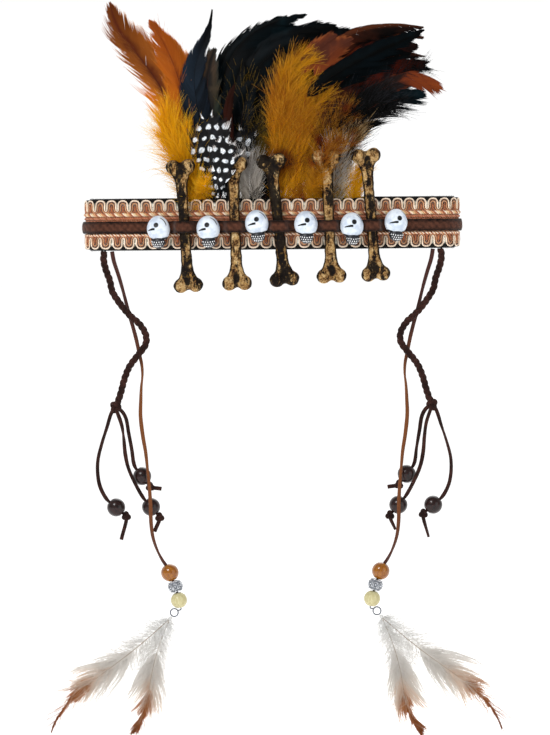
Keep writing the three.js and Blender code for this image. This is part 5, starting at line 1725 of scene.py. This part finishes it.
# %% Rust, orange and black feathers on the right
(Feather("rust_black_middle", "rust_red", "black")
 .vane(22, "coque", .1, ragged=(.08, .12), cup=3)
 .beside(22, "coque", (6, .93, 4, -.6), ragged=(.08, .2))
 .beside(15, "hackle", (4, .93, -2, -4), finish=1, start=.6, ragged=(.06, .2))
 .down(24, 0, .5, 120)
 .stand())
(Feather("orange_plume_right", "orange_right", "ember", "rust_black", "rust_short")
 .down(24, 0, .62, 480, body=.4, curl=.55)
 .tufts(22, 0, .9, 300, (7, .64, 4, -.7), (14, .52, 6, -1.2), (10, .42, 0, -2), (10, .64, 0, -1.6),
        (16, .55, -2, -1.4), body=.4, curl=.65)
 .tufts(14, .55, .98, 130, (15, .42, 2, -3.6), finish=3)
 .beside(14, "hackle", (-2, 1, -5, -2.8), (-6, 1, -9, -2.4), finish=1, start=.72, ragged=(.1, .25),
         splits=(4, 8), loose=.06)
 .tufts(16, .1, .96, 300, (9, .42, 1, -9.5), (13, .36, -4, -9.5), curl=.5, lean=(60, 24), body=.9)
 .beside(18, "hackle", (7, .94, 4, .5), finish=2, start=.5, ragged=(.1, .2))
 .stand())
(Feather("black_right_feather", "rust_red", "black")
 .vane(20, "coque", .1, end=.95, ragged=(.1, .3), splits=(3, 8), cup=3)
 .beside(19, "coque", (-6, .9, -3, .7), ragged=(.1, .3))
 .beside(19, "coque", (5, .84, 4, -.5), (-3, .86, 0, 1.2), finish=1, ragged=(.2, .4), splits=(4, 9))
 .down(24, 0, .9, 120, finish=1)
 .down(20, .78, .97, 90, lean=(60, 30), finish=1)
 .stand())

# %% [markdown]
# The outermost feathers lie lowest: a thin one with a rust tip, a frayed black plume, and at the foot
# grey fluff and a tan plume with yellow down.

# %% Outer feathers on the right
(Feather("rust_tip_feather", "rust_tip")
 .vane(11, "round", .5, ragged=(.1, .2), splits=(2, 6), cup=1.5)
 .down(22, 0, .7, 160)
 .stand())
(Feather("black_plume_right", "black_down", "black")
 .down(30, 0, .9, 420, lean=(44, 12))
 .tufts(28, .25, .92, 300, (3, .92, 6, -.6), (-4, .95, -5, .6), lean=(44, 12))
 .beside(24, "coque", (0, .93, -2, .3), lean=(40, 14), ragged=(.2, .4), splits=(5, 12), loose=.2)
 .stand())
(Feather("grey_plume_right", "grey")
 .vane(20, "round", .1, lean=(50, 22), loose=.2, ragged=(.25, .25))
 .down(25, 0, .9, 440, lean=(50, 20), fuzz=1.5, ribbon=.22)
 .stand())
(Feather("tan_plume_right", "tan", "yellow")
 .down(17, 0, .8, 360, lean=(46, 18))
 .down(20, .55, .86, 120, lean=(50, 30), sides=(1,), fuzz=1.2)
 .tufts(16, .1, .85, 220, (-4, .8, -4, -.3))
 .tufts(14, 0, .9, 260, (6, .5, 2, -.2), (9, .42, 4, .4), finish=1)
 .stand())

# %% [markdown]
# ## The pendant feathers
# Two soft white feathers hang from each eye pin, bound at their quills. They are white down for half
# their length, and their vanes end in tan and rust brown.

# %% Pendant feathers
PENDANTS = (("frayed", 110, 24, 7, (-132, -130, -126, -126, -137, -162)),
            ("notched", 82.5, 20, -2, (-154, -160, -166, -174, -160, -134)))
for name, side in SIDES.items():
    bind = on_side(BIND_AT, side)[0]
    parts = [ball(bind, (1.4, 1.4, 1.4), 8, 10, shaft=0, reach=0.2, quill=0.0, lot=0.6)]
    for shape, length, width, forward, headings in PENDANTS:
        def depth_at(x, z, t, forward=forward):
            return bind[1] - forward * t

        quill = Quill(bind[0], bind[2], length, [h * -side for h in headings], depth_at)
        parts += [shaft(quill, 0.6)]
        parts += vane(quill, width, shape, .3, ragged=(.5, .5), splits=(10, 10), cup=.6, loose=.1, spacing=.5)
        parts += [plume(quill, width * 1.3, 0, .5, 480, lean=(62, 34), body=.35, curl=.7, ribbon=.25),
                  plume(quill, width * 1.2, .35, .66, 200, lean=(44, 18), body=.25, curl=.5),
                  plume(quill, width * .9, .62, .93, 70, lean=(26, 12), body=.2, fuzz=1, curl=.25, ribbon=.2,
                        shape="round")]
    label = "pendant_plume_" + name
    piece(label + "_barbs", parts, [finishes["white"]], "white_feather", [label])
